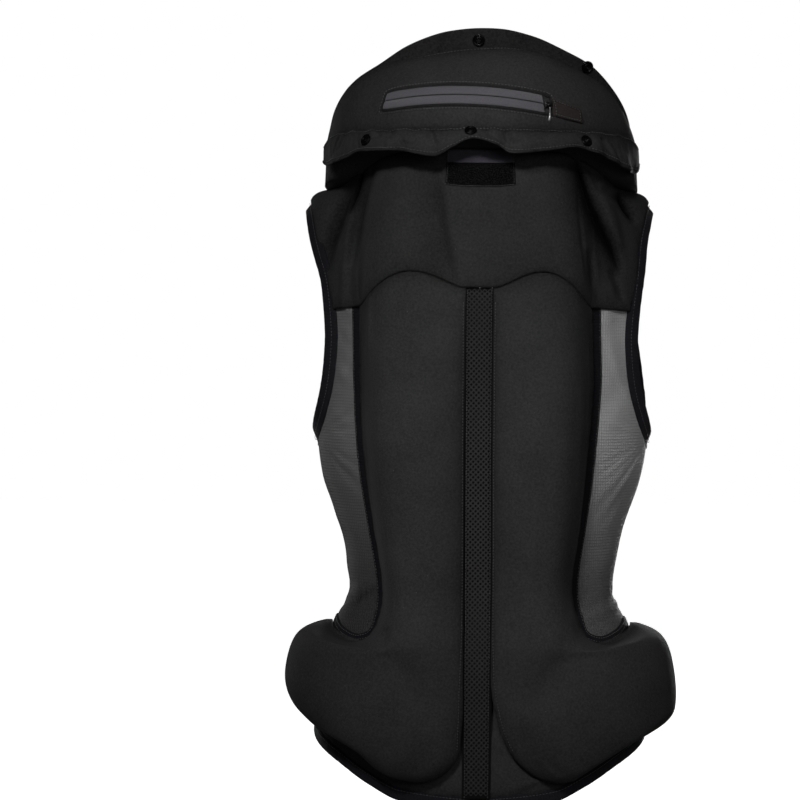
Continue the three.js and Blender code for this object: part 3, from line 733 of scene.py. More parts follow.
def start_material(name: str) -> Surface:
    """New material with a Principled shader, to be finished.

    Args:
        name: name of the material.

    Returns:
        The material under way.
    """
    material = bpy.data.materials.new(name)
    material.use_nodes = True
    kit = NodeKit(material.node_tree)
    shader = next(node for node in kit.tree.nodes if node.type == "BSDF_PRINCIPLED")
    mapped = kit.first("ShaderNodeUVMap", uv_map="cloth")
    return Surface(kit, shader, mapped, kit.add("ShaderNodeTexCoord").outputs["Object"])


def grey(value: float, blue: float = 0.0) -> Colour:
    """Neutral colour, with a little more blue if asked."""
    return (value, value * (1 - 0.25 * blue), value * (1 + blue))


@dataclass(frozen=True)
class Finish:
    """A finish by its name; each kind says how its shader is set up."""

    name: str

    def build(self, groups: FinishGroups) -> Material:
        """Make the material."""
        self.shade(start_material(self.name), groups)
        return bpy.data.materials[self.name]

    def shade(self, s: Surface, groups: FinishGroups) -> None:
        """Set up the shader."""
        raise NotImplementedError


@dataclass(frozen=True)
class ClothFinish(Finish):
    """Matt woven cloth with uneven dye, lint, dark seams and painted shade in deep folds."""

    dark: Colour
    light: Colour
    lint: Colour
    pitch: float = 0.0009
    grain: float = 520.0
    blotch: float = 22.0
    roughness: float = 0.77
    sheen: float = 0.01
    relief: float = 0.00022

    def shade(self, s: Surface, groups: FinishGroups) -> None:
        """Set up the shader.

        Args:
            s: the material under way.
            groups: the shared shader groups.
        """
        kit = s.kit
        twill = s.group(groups.weave, s.map, Pitch=self.pitch)["Height"]
        fibre = s.group(groups.fibre, s.place, Grain=self.grain, Blotch=self.blotch)
        grain = fibre["Grain"]
        # The tone is darker near seams, and the same attribute adds painted shade in the cores of deep
        # folds.
        tone = kit.total(0.125, (grain, 0.3), (fibre["Blotch"], 0.3), (twill, 0.25), (s.seam(), -0.22))
        linty = kit.math("MULTIPLY", fibre["Lint"], 0.5)
        s.feed(Base_Color=kit.mix(linty, kit.mix(tone, self.dark, self.light), self.lint),
               Roughness=kit.total(self.roughness, (grain, 0.16)),
               Sheen_Weight=self.sheen, Sheen_Roughness=0.45, Specular_IOR_Level=0.06)
        s.bump(kit.total(0.0, (twill, 0.5), (grain, 0.5)), self.relief)


@dataclass(frozen=True)
class TapeFinish(Finish):
    """Ribbed tape: elastic binding or zip tape."""

    dark: Colour
    light: Colour
    pitch: float
    slant: float = 0.0
    roughness: float = 0.6
    sheen: float = 0.04
    relief: float = 0.0003

    def shade(self, s: Surface, groups: FinishGroups) -> None:
        """Set up the shader.

        Args:
            s: the material under way.
            groups: the shared shader groups.
        """
        kit = s.kit
        rib = s.group(groups.rib, s.map, Pitch=self.pitch, Slant=self.slant)["Height"]
        grain = s.group(groups.fibre, s.place, Grain=1300.0, Blotch=40.0)["Grain"]
        s.feed(Base_Color=kit.mix(kit.total(0.0, (rib, 0.45), (grain, 0.5)), self.dark, self.light),
               Roughness=kit.total(self.roughness, (grain, 0.2)),
               Sheen_Weight=self.sheen, Sheen_Roughness=0.4, Specular_IOR_Level=0.14)
        s.bump(kit.total(0.0, (rib, 1.0), (grain, 0.4)), self.relief)


@dataclass(frozen=True)
class NetFinish(Finish):
    """Sheer knitted net with small square openings, more open above the waist, with painted light that makes
    it paler there and painted shade in its folds.
    """

    dark: Colour
    light: Colour
    painted_crease_shade: Colour = grey(0.003)
    pitch: float = 0.0027
    hole: float = 0.25
    film: float = 0.7
    stretch_low: float = -0.36
    stretch_high: float = -0.2
    lit_stretch: float = 0.75

    def shade(self, s: Surface, groups: FinishGroups) -> None:
        """Set up the shader.

        Args:
            s: the material under way.
            groups: the shared shader groups.
        """
        kit = s.kit
        parts = kit.axes(s.map)
        angles = [kit.math("MULTIPLY", parts[k], math.pi / self.pitch) for k in range(2)]
        waves = [kit.math("ABSOLUTE", kit.math("SINE", angle)) for angle in angles]
        open_mask = kit.math("MINIMUM", *waves)
        edge = kit.math("SUBTRACT", open_mask, 1 - self.hole)
        # Painted light: higher up the net is painted paler, and its openings also let more through there.
        lit_stretch = kit.ramp(kit.axes(s.place)[2], self.stretch_low, self.stretch_high, 0.0, self.lit_stretch)
        film = kit.total(1.0, (lit_stretch, -(1 - self.film) / self.lit_stretch))
        grain = s.group(groups.fibre, s.place, Grain=1100.0, Blotch=26.0)["Grain"]
        cells = kit.math("MULTIPLY", lit_stretch, kit.total(0.5, (open_mask, 0.75)))
        tone = kit.total(-0.04, (cells, 1.0), (grain, 0.2))
        # Painted shade: the net is darkened towards a near-black colour along its folds.
        painted_shade_share = kit.math("MULTIPLY", s.seam(), 0.6)
        s.feed(Base_Color=kit.mix(painted_shade_share, kit.mix(tone, self.dark, self.light), self.painted_crease_shade),
               Alpha=kit.ramp(edge, -0.05, 0.05, 1.0, film), Roughness=kit.total(0.7, (grain, 0.2)),
               Sheen_Weight=0.06, Sheen_Roughness=0.4, Specular_IOR_Level=0.1)
        s.bump(kit.math("SUBTRACT", 1.0, open_mask), 0.0004)


@dataclass(frozen=True)
class MetalFinish(Finish):
    """Plated or lacquered metal with fine scratches and rubbed spots."""

    colour: Colour
    rubbed: Colour
    roughness: float
    coat: float = 0.0

    def shade(self, s: Surface, groups: FinishGroups) -> None:
        """Set up the shader.

        Args:
            s: the material under way.
            groups: the shared shader groups.
        """
        fibre = s.group(groups.fibre, s.place, Grain=700.0, Blotch=160.0)
        spots = s.kit.ramp(fibre["Blotch"], 0.52, 0.7, 0.0, 0.7)
        s.feed(Base_Color=s.kit.mix(spots, self.colour, self.rubbed),
               Roughness=s.kit.total(self.roughness, (fibre["Grain"], 0.25)),
               Metallic=1.0, Coat_Weight=self.coat, Coat_Roughness=0.15)
        s.bump(fibre["Grain"], 0.00004)


@dataclass(frozen=True)
class YarnFinish(Finish):
    """Smooth yarn or plastic bristle, for threads, lattice and hooks."""

    dark: Colour
    light: Colour
    roughness: float
    sheen: float = 0.03
    gloss: float = 0.2

    def shade(self, s: Surface, groups: FinishGroups) -> None:
        """Set up the shader.

        Args:
            s: the material under way.
            groups: the shared shader groups.
        """
        fibre = s.group(groups.fibre, s.place, Grain=1500.0, Blotch=300.0)
        tone = s.kit.total(0.0, (fibre["Grain"], 0.5), (fibre["Blotch"], 0.5))
        s.feed(Base_Color=s.kit.mix(tone, self.dark, self.light),
               Roughness=s.kit.total(self.roughness, (fibre["Grain"], 0.2)),
               Sheen_Weight=self.sheen, Specular_IOR_Level=self.gloss)
        s.bump(fibre["Grain"], 0.0001)


FINISHES = {
    "softshell": ClothFinish("softshell_cloth", grey(0.001), grey(0.063), grey(0.09)),
    "garage": ClothFinish("zip_garage_cloth", (0.021, 0.0175, 0.017), (0.062, 0.05, 0.048), grey(0.09),
                          pitch=0.0007),
    "binding": TapeFinish("elastic_binding", (0.005, 0.005, 0.0068), (0.02, 0.0195, 0.026), 0.0014),
    "trim": TapeFinish("net_trim_tape", (0.003, 0.003, 0.0042), (0.014, 0.0135, 0.017), 0.0014,
                       roughness=0.75, sheen=0.0),
    "zip_tape": TapeFinish("zip_tape_satin", (0.078, 0.076, 0.084), (0.185, 0.178, 0.198), 0.0011,
                           slant=1.0, roughness=0.4, sheen=0.1),
    # Painted light: the two nets are one knit, painted brighter on the right side and dimmer on the left.
    "net_left": NetFinish("side_net_left_knit_painted_dim", grey(0.021), grey(0.24)),
    "net_right": NetFinish("side_net_right_knit_painted_bright", grey(0.045), grey(0.6)),
    "lattice": YarnFinish("spacer_lattice", grey(0.02), grey(0.055), 0.6),
    "spacer_ground": YarnFinish("spacer_ground", grey(0.0025), grey(0.006), 0.8),
    "thread": YarnFinish("dark_thread", grey(0.06), grey(0.14), 0.45),
    "coil": YarnFinish("zip_coil", grey(0.004), grey(0.009), 0.4),
    "bristle": YarnFinish("hook_bristle", grey(0.002), grey(0.03, 0.1), 0.2, sheen=0.0, gloss=0.42),
    "hook_ground": YarnFinish("hook_ground", grey(0.0006), grey(0.002), 0.75, sheen=0.0, gloss=0.08),
    "hook_tab": TapeFinish("hook_tab_tape", (0.03, 0.028, 0.037), (0.09, 0.084, 0.106), 0.001,
                           roughness=0.5, sheen=0.05),
    "snap": MetalFinish("snap_black_metal", grey(0.01), grey(0.035), 0.24, coat=0.12),
    "slider": MetalFinish("slider_gunmetal", grey(0.05), grey(0.2), 0.25),
    "silver": MetalFinish("pull_silver", (0.72, 0.72, 0.73), (0.85, 0.85, 0.85), 0.2),
}


class PieceTree:
    """Geometry nodes that repeat a small piece, with chance turns, as real geometry with its material."""

    name = "pieces"
    measures: tuple[str, ...] = ()
    chance: tuple[float, float, float] = (1, 1, 1)
    kinds = {"Geometry": "Geometry", "Piece": "Object", "Seed": "Int", "Material": "Material"}

    def __init__(self) -> None:
        """Build the tree."""
        self.tree = bpy.data.node_groups.new(self.name, "GeometryNodeTree")
        face = self.tree.interface
        self.sockets = {}
        for name in ("Geometry", "Piece", *self.measures, "Tilt", "Seed", "Material"):
            kind = "NodeSocket" + self.kinds.get(name, "Float")
            self.sockets[name] = face.new_socket(name, in_out="INPUT", socket_type=kind).identifier
        face.new_socket("Geometry", in_out="OUTPUT", socket_type="NodeSocketGeometry")
        kit = NodeKit(self.tree)
        given = kit.given()
        points, facing = self.places(kit, given)
        least = tuple(-part for part in self.chance)
        chance = kit.first("FunctionNodeRandomValue", {"Seed": given["Seed"], 0: least, 1: self.chance},
                           data_type="FLOAT_VECTOR")
        tilt = kit.first("ShaderNodeVectorMath", {0: chance, "Scale": given["Tilt"]}, operation="SCALE")
        spin = kit.first("FunctionNodeEulerToRotation", {0: tilt})
        turned = kit.first("FunctionNodeRotateRotation", {0: facing, 1: spin}, rotation_space="LOCAL")
        piece = kit.add("GeometryNodeObjectInfo", {"Object": given["Piece"], "As Instance": True})
        copies = kit.first("GeometryNodeInstanceOnPoints",
                           {"Points": points, "Instance": piece.outputs["Geometry"], "Rotation": turned})
        real = kit.first("GeometryNodeRealizeInstances", {0: copies})
        made = kit.first("GeometryNodeSetMaterial", {"Geometry": real, "Material": given["Material"]})
        kit.add("NodeGroupOutput", {0: made})

    def places(self, kit: NodeKit, given: dict) -> tuple[NodeSocket, NodeSocket]:
        """Points to repeat the piece on, and its rotation there."""
        raise NotImplementedError

    def grow(self, name: str, mesh: Mesh, piece: Object, **values: object) -> Object:
        """Run the tree on a mesh and keep the result as a plain mesh.

        Args:
            name: name of the result.
            mesh: what the tree starts from; it is used up.
            piece: the small piece that is repeated; it is used up.
            values: the tree's other inputs.

        Returns:
            One plain mesh object.
        """
        host = link_object(name + "_host", mesh)
        modifier = host.modifiers.new("nodes", "NODES")
        modifier.node_group = self.tree
        for key, value in (values | {"Piece": piece}).items():
            modifier[self.sockets[key]] = value
        shown = host.evaluated_get(bpy.context.evaluated_depsgraph_get())
        result = bpy.data.meshes.new_from_object(shown)
        result.name = name
        result.shade_smooth()
        for gone in (host, piece):
            old = gone.data
            bpy.data.objects.remove(gone)
            bpy.data.meshes.remove(old)
        for extra in [a.name for a in result.attributes if a.name in ("up", "id")]:
            result.attributes.remove(result.attributes[extra])
        return link_object(name, result)


class RowTree(PieceTree):
    """Rows along lines, turned to the line and to the cloth's outward side."""

    name = "row_of_pieces"
    measures = ("Pitch",)

    def places(self, kit: NodeKit, given: dict) -> tuple[NodeSocket, NodeSocket]:
        """Even points along the lines.

        Args:
            kit: the tree's kit.
            given: the tree's inputs.

        Returns:
            The points and the rotations on them.
        """
        line = kit.first("GeometryNodeMeshToCurve", {0: given["Geometry"]})
        even = kit.add("GeometryNodeResampleCurve", {"Curve": line, "Length": given["Pitch"]},
                       mode="LENGTH")
        along = kit.first("GeometryNodeInputTangent")
        up = kit.first("GeometryNodeInputNamedAttribute", {"Name": "up"}, data_type="FLOAT_VECTOR")
        first = kit.first("FunctionNodeAlignRotationToVector", {"Vector": along}, axis="X")
        facing = kit.add("FunctionNodeAlignRotationToVector", {"Rotation": first, "Vector": up},
                         axis="Z", pivot_axis="X")
        return even.outputs[0], facing.outputs[0]

    def run(self, name: str, lines: Sequence[Line], piece: Object, pitch: float,
            material: Material, tilt: float = 0.0, seed: int = 1) -> Object:
        """Repeat a piece along lines.

        Args:
            name: name of the result.
            lines: points and outward directions of each line, in millimetres.
            piece: the small piece, lying along X with Z outward; it is used up.
            pitch: distance from one to the next, in millimetres.
            material: what they are made of.
            tilt: largest chance turn, in radians.
            seed: picks the chance turns.

        Returns:
            One plain mesh object.
        """
        points = np.concatenate([line for line, _ in lines]) * MM
        ups = np.concatenate([up for _, up in lines]).astype(np.float32)
        edges, start = [], 0
        for line, _ in lines:
            edges += [(start + i, start + i + 1) for i in range(len(line) - 1)]
            start += len(line)
        mesh = bpy.data.meshes.new(name)
        mesh.from_pydata(points.tolist(), edges, [])
        mesh.attributes.new("up", "FLOAT_VECTOR", "POINT").data.foreach_set("vector", ups.ravel())
        return self.grow(name, mesh, piece, Pitch=pitch * MM, Tilt=tilt, Seed=seed, Material=material)


class ScatterTree(PieceTree):
    """Pieces scattered over a surface."""

    name = "scatter_of_pieces"
    measures = ("Density", "Spacing")
    chance = (1, 1, 3)

    def places(self, kit: NodeKit, given: dict) -> tuple[NodeSocket, NodeSocket]:
        """Points spread over the faces.

        Args:
            kit: the tree's kit.
            given: the tree's inputs.

        Returns:
            The points and the rotations on them.
        """
        points = kit.add("GeometryNodeDistributePointsOnFaces",
                         {"Mesh": given["Geometry"], "Distance Min": given["Spacing"],
                          "Density Max": given["Density"], "Seed": given["Seed"]},
                         distribute_method="POISSON")
        return points.outputs["Points"], points.outputs["Rotation"]

    def run(self, name: str, face: Mesh, piece: Object, spacing: float,
            material: Material, tilt: float, seed: int = 1) -> Object:
        """Scatter a piece over a mesh, which is used up.

        Args:
            name: name of the result.
            face: the surface, in metres.
            piece: the small piece, standing along Z; it is used up.
            spacing: least distance between two, in millimetres.
            material: what they are made of.
            tilt: largest chance lean, in radians.
            seed: picks the places and leans.

        Returns:
            One plain mesh object.
        """
        density = 2.0 / (spacing * MM) ** 2
        return self.grow(name, face, piece, Density=density, Spacing=spacing * MM, Tilt=tilt, Seed=seed,
                         Material=material)


def cut_line(line: Line, pitch: float, start: float = 0.0) -> Line:
    """Line cut to a whole number of pitches.

    Args:
        line: points and outward directions, in millimetres.
        pitch: length of one part.
        start: length left off at each end.

    Returns:
        The shorter line.
    """
    points, ups = line
    length = lengths(points)
    count = int((length[-1] - 2 * start) / pitch)
    at = np.linspace(start, start + (count + 1e-3) * pitch, 2 * len(points))
    cut = [stacked(*(np.interp(at, length, column) for column in rows.T)) for rows in (points, ups)]
    return cut[0], unit(cut[1])


def ring_quads(rows: int, columns: int, joined: bool = True) -> Array:
    """Faces of a grid of points whose columns join up, and its rows too unless told otherwise.

    Args:
        rows: how many rows.
        columns: how many columns.
        joined: whether the last row joins the first.

    Returns:
        Four vertex numbers for each face.
    """
    i, j = np.meshgrid(np.arange(rows if joined else rows - 1), np.arange(columns), indexing="ij")
    ni, nj = (i + 1) % rows, (j + 1) % columns
    corners = (i * columns + j, i * columns + nj, ni * columns + nj, ni * columns + j)
    return np.stack(corners, axis=-1).reshape(-1, 4)


def lathe(profile: Sequence[tuple[float, float]], segments: int) -> tuple[Array, Array]:
    """Closed turned shape about Z from a closed profile of radius and height.

    Args:
        profile: points of the closed profile.
        segments: how many faces go round.

    Returns:
        Vertices in millimetres and faces.
    """
    radius, height = np.asarray(profile, float).T
    turn = (np.arange(segments) * 2 * np.pi / segments)[:, None]
    points = stacked(np.cos(turn) * radius, np.sin(turn) * radius, height)
    return points.reshape(-1, 3), ring_quads(segments, len(radius))


def tube(line: Array, radii: Array, sides: int = 6) -> tuple[Array, Array]:
    """Tube along a line, with open ends.

    Args:
        line: points along the middle, in millimetres.
        radii: radius at each point.
        sides: how many faces go round.

    Returns:
        Vertices and faces.
    """
    along = unit(np.gradient(line, axis=0))
    side = unit(np.cross(along, np.where(np.abs(along[:, 2:]) < 0.9, [[0.0, 0, 1]], [[1.0, 0, 0]])))
    up = np.cross(side, along)
    turn = (np.arange(sides) * 2 * np.pi / sides)[None, :, None]
    ring = np.cos(turn) * side[:, None] + np.sin(turn) * up[:, None]
    points = line[:, None] + ring * np.asarray(radii)[:, None, None]
    return points.reshape(-1, 3), ring_quads(len(line), sides, joined=False)


def closed_object(name: str, points: Array, faces: Array) -> Object:
    """Object with doubled points merged, open loops filled and faces turned outward.

    Args:
        name: name of the piece.
        points: vertices, in millimetres.
        faces: rows of vertex numbers.

    Returns:
        The object.
    """
    obj = new_object(name, points, faces)
    work = bmesh.new()
    work.from_mesh(obj.data)
    bmesh.ops.remove_doubles(work, verts=work.verts, dist=1e-6)
    open_edges = [edge for edge in work.edges if edge.is_boundary]
    if open_edges:
        bmesh.ops.holes_fill(work, edges=open_edges, sides=0)
    bmesh.ops.recalc_face_normals(work, faces=work.faces)
    work.to_mesh(obj.data)
    work.free()
    obj.data.shade_smooth()
    return obj


def closed_tube(name: str, line: Array, radii: Array, sides: int) -> Object:
    """Tube object with its ends closed."""
    return closed_object(name, *tube(np.asarray(line, float), np.asarray(radii, float), sides))


class Workroom:
    """Finishes and the trees that sew, shared by all sub-assemblies."""

    def __init__(self) -> None:
        """Make the finishes and the trees."""
        groups = FinishGroups()
        self.finish = {key: finish.build(groups) for key, finish in FINISHES.items()}
        self.rows = RowTree()
        self.scatter = ScatterTree()

    def stitches(self, name: str, lines: Sequence[Line], slot: Slot, length: float = 2.4,
                 pitch: float = 3.2, radius: float = 0.28, seed: int = 1, holes: bool = False) -> None:
        """Sew rows of stitches along lines.

        Args:
            name: name of the piece.
            lines: points and outward directions, in millimetres.
            slot: the record's slot.
            length: length of one stitch.
            pitch: distance from one stitch to the next.
            radius: thickness of the thread.
            seed: picks the small chance turns.
            holes: whether the needle pits between the stitches show, as small dark pieces of painted shade.
        """
        share = np.linspace(-1, 1, 5)
        line = stacked(share * length / 2, 0 * share, radius * (0.9 - 0.8 * share**2))
        stitch = closed_tube(name + "_piece", line, radius * np.array([0.35, 0.9, 1, 0.9, 0.35]), 5)
        even = [cut_line(line, pitch) for line in lines]
        obj = self.rows.run(name, even, stitch, pitch, self.finish["thread"], tilt=0.06, seed=seed)
        # Painted shade: small dark pieces sit in the needle pits between the stitches.
        if holes:
            hole_shade_piece = closed_tube(name + "_dent", [[-0.55, 0, 0.02], [0, 0, 0.12], [0.55, 0, 0.02]],
                               [0.2, 0.42, 0.2], 4)
            between = [cut_line(line, pitch, pitch / 2) for line in lines]
            settle(self.rows.run(name + "_holes", between, hole_shade_piece, pitch, self.finish["coil"]), slot)
        settle(obj, slot)


@dataclass
class Torso:
    """Body that the vest is shaped on: superellipse sections with their own depth behind and in front."""

    roundness: float = 2.3
    samples: int = 192
    rows: tuple = (
        # z, width, back, front
        (-40, 146, 100, 90), (-95, 150, 106, 98), (-150, 151, 110, 108), (-215, 149, 109, 112),
        (-250, 144, 104, 108), (-285, 132, 98, 102), (-320, 123, 92, 97), (-356, 119, 88, 94),
        (-380, 130, 89, 96), (-400, 137, 92, 99), (-440, 143, 99, 103), (-490, 150, 107, 107),
        (-550, 156, 112, 110),
    )

    def __post_init__(self) -> None:
        """Make the curves of the sections."""
        self.width, self.back, self.front = curves(self.rows)

    def section(self, z: Array) -> tuple[Array, Array, Array, Array, Array]:
        """Half sections at heights: girths, points and normals from the spine to the front.

        Args:
            z: heights.

        Returns:
            Girths, x, y and both parts of the normals, one row for each height.
        """
        angle = np.pi * steps(self.samples)
        power = 2 / self.roundness
        width = self.width(z)[:, None]
        depth = np.where(steps(self.samples) < 0.5, self.back(z)[:, None], self.front(z)[:, None])
        x = width * np.clip(np.sin(angle), 0, 1) ** power
        y = -np.sign(np.cos(angle)) * depth * np.abs(np.cos(angle)) ** power
        across = (x / width) ** (self.roundness - 1) / width
        along = np.sign(y) * (np.abs(y) / depth) ** (self.roundness - 1) / depth
        norm = np.hypot(across, along)
        girth = np.pad(np.cumsum(np.hypot(np.diff(x), np.diff(y)), axis=1), ((0, 0), (1, 0)))
        return girth, x, y, across / norm, along / norm

    def half_girth(self, z: Array) -> Array:
        """Girth from the spine to the middle of the front."""
        return self.section(np.atleast_1d(np.asarray(z, float)))[0][:, -1]

    def place(self, g: Array, z: Array, out: Array) -> Array:
        """Points at girths and heights, moved outward.

        Args:
            g: girths from the spine, negative on the left.
            z: heights.
            out: distances outward.

        Returns:
            Points in millimetres.
        """
        g, z, out = np.broadcast_arrays(*(np.asarray(v, float) for v in (g, z, out)))
        flat = [v.ravel() for v in (g, z, out)]
        made = [self._some(*(v[k:k + 4096] for v in flat)) for k in range(0, g.size, 4096)]
        return np.concatenate(made).reshape(*g.shape, 3)

    def _some(self, g: Array, z: Array, out: Array) -> Array:
        """Points for one flat part of the arrays.

        Args:
            g: signed girths.
            z: heights.
            out: distances outward.

        Returns:
            Points in millimetres.
        """
        girth, *fields = self.section(z)
        want = np.minimum(np.abs(g), girth[:, -1])
        i = np.clip((girth < want[:, None]).sum(1), 1, self.samples)
        row = np.arange(len(g))
        t = (want - girth[row, i - 1]) / (girth[row, i] - girth[row, i - 1])
        x, y, nx, ny = (lerp(f[row, i - 1], f[row, i], t) for f in fields)
        side = np.where(g < 0, -1, 1)
        return np.stack([side * (x + nx * out), y + ny * out, z], axis=1)

    def line(self, g: Array, z: Array, out: float) -> Line:
        """Points at girths and heights, moved outward, and the body's outward normals there."""
        return self.place(g, z, out), self.place(g, z, 1) - self.place(g, z, 0)


# Folds of the back; a fold with a shade also darkens its colour with painted shade, most along its core.
BACK_FOLDS = (
    Fold(((-43, 30), (-37, -20), (-25, -78)), 7, -9.0, 22, shade=0.8),
    Fold(((-96, 36), (-104, 12), (-109, -8), (-117, -60)), 4.5, -11.0, 9, shade=1.2),
    Fold(((-118, 18), (-127, -10), (-138, -44), (-141, -66)), 5.5, -13.0, 8, shade=1.7),
    Fold(((-113, 4), (-121, -36), (-126, -99)), 3.6, 4.5),
    Fold(((-108, 36), (-113, 14), (-121, -14)), 4.2, -11.0, shade=3.0, keen=True),
    Fold(((-103, -40), (-107, -92)), 3.2, 2.2),
    Fold(((87, 22), (90, -22), (93, -52), (97, -80)), 2.0, -2.4),
    Fold(((83, 42), (92, 16), (99, -5), (108, -25), (117, -43), (126, -66)), 4.0, -18.0, 7,
         lap=3.0, shade=4.0, keen=True),
    Fold(((83, 42), (92, 16), (99, -5), (108, -25), (117, -43), (128, -72)), 6.0, -5.0, 24, shade=0.7),
    Fold(((97, -42), (100, -68), (104, -92)), 3.8, -5.0, shade=1.0),
    Fold(((117, -60), (127, -90)), 3.4, -4.5, shade=0.8),
    Fold(((95, 32), (106, 12), (123, 2), (140, -20)), 3.4, -6.0),
    Fold(((121, 10), (129, -5), (137, -19)), 4.0, -11.0, shade=3.5, keen=True),
    Fold(((104, 16), (116, -12), (126, -44)), 5.0, 4.5),
    Fold(((-99, -74), (-99, -146)), 2.6, 2.2),
    Fold(((93, -160), (90, -260), (85, -360), (85, -406)), 3.6, 2.0),
    Fold(((-80, -382), (-88, -399)), 3.8, -4.5),
    Fold(((-134, -405), (-107, -404), (-78, -402)), 7.0, 1.2, 0, 0.0),
    Fold(((-86, -392), (-62, -434), (-36, -470)), 13, -5.0),
    Fold(((84, -394), (66, -430), (48, -460)), 13, -4.0),
    Fold(((38, -468), (50, -500), (66, -520)), 11, -4.0),
    Fold(((-36, -482), (-52, -506), (-72, -518)), 11, -3.4),
    Fold(((76, -384), (92, -405), (122, -411)), 8, -2.6),
    Fold(((58, -486), (66, -500), (77, -512)), 3.2, -1.8),
    Fold(((76, -482), (86, -496), (93, -507)), 3.2, -1.6),
)


# Folds of the net; the first adds painted shade along its fold line.
NET_FOLDS = (
    Fold(((-91, -348), (-108, -361), (-130, -375)), 3.2, -0.8, shade=1.0),
    Fold(((-92, -345), (-108, -356), (-126, -367)), 3.5, 2.4),
    Fold(((-96, -357), (-112, -368), (-128, -378)), 4.0, 3.4),
    Fold(((97, -374), (112, -369), (127, -363)), 3.4, 2.8),
    Fold(((96, -360), (110, -356), (120, -352)), 3.0, 1.6),
)


HEM_FOLDS = (
    Fold(((30, -527), (47, -520), (64, -516)), 2.2, 2.6),
    Fold(((36, -533), (52, -526), (67, -521)), 1.8, -2.0),
    Fold(((28, -537), (44, -531), (62, -528)), 1.6, 2.0),
    Fold(((50, -534), (56, -524), (60, -518)), 1.5, 1.6),
    Fold(((-60, -530), (-40, -533), (-18, -535)), 2.4, 1.6),
    Fold(((-52, -524), (-34, -519)), 2.0, -1.2),
)


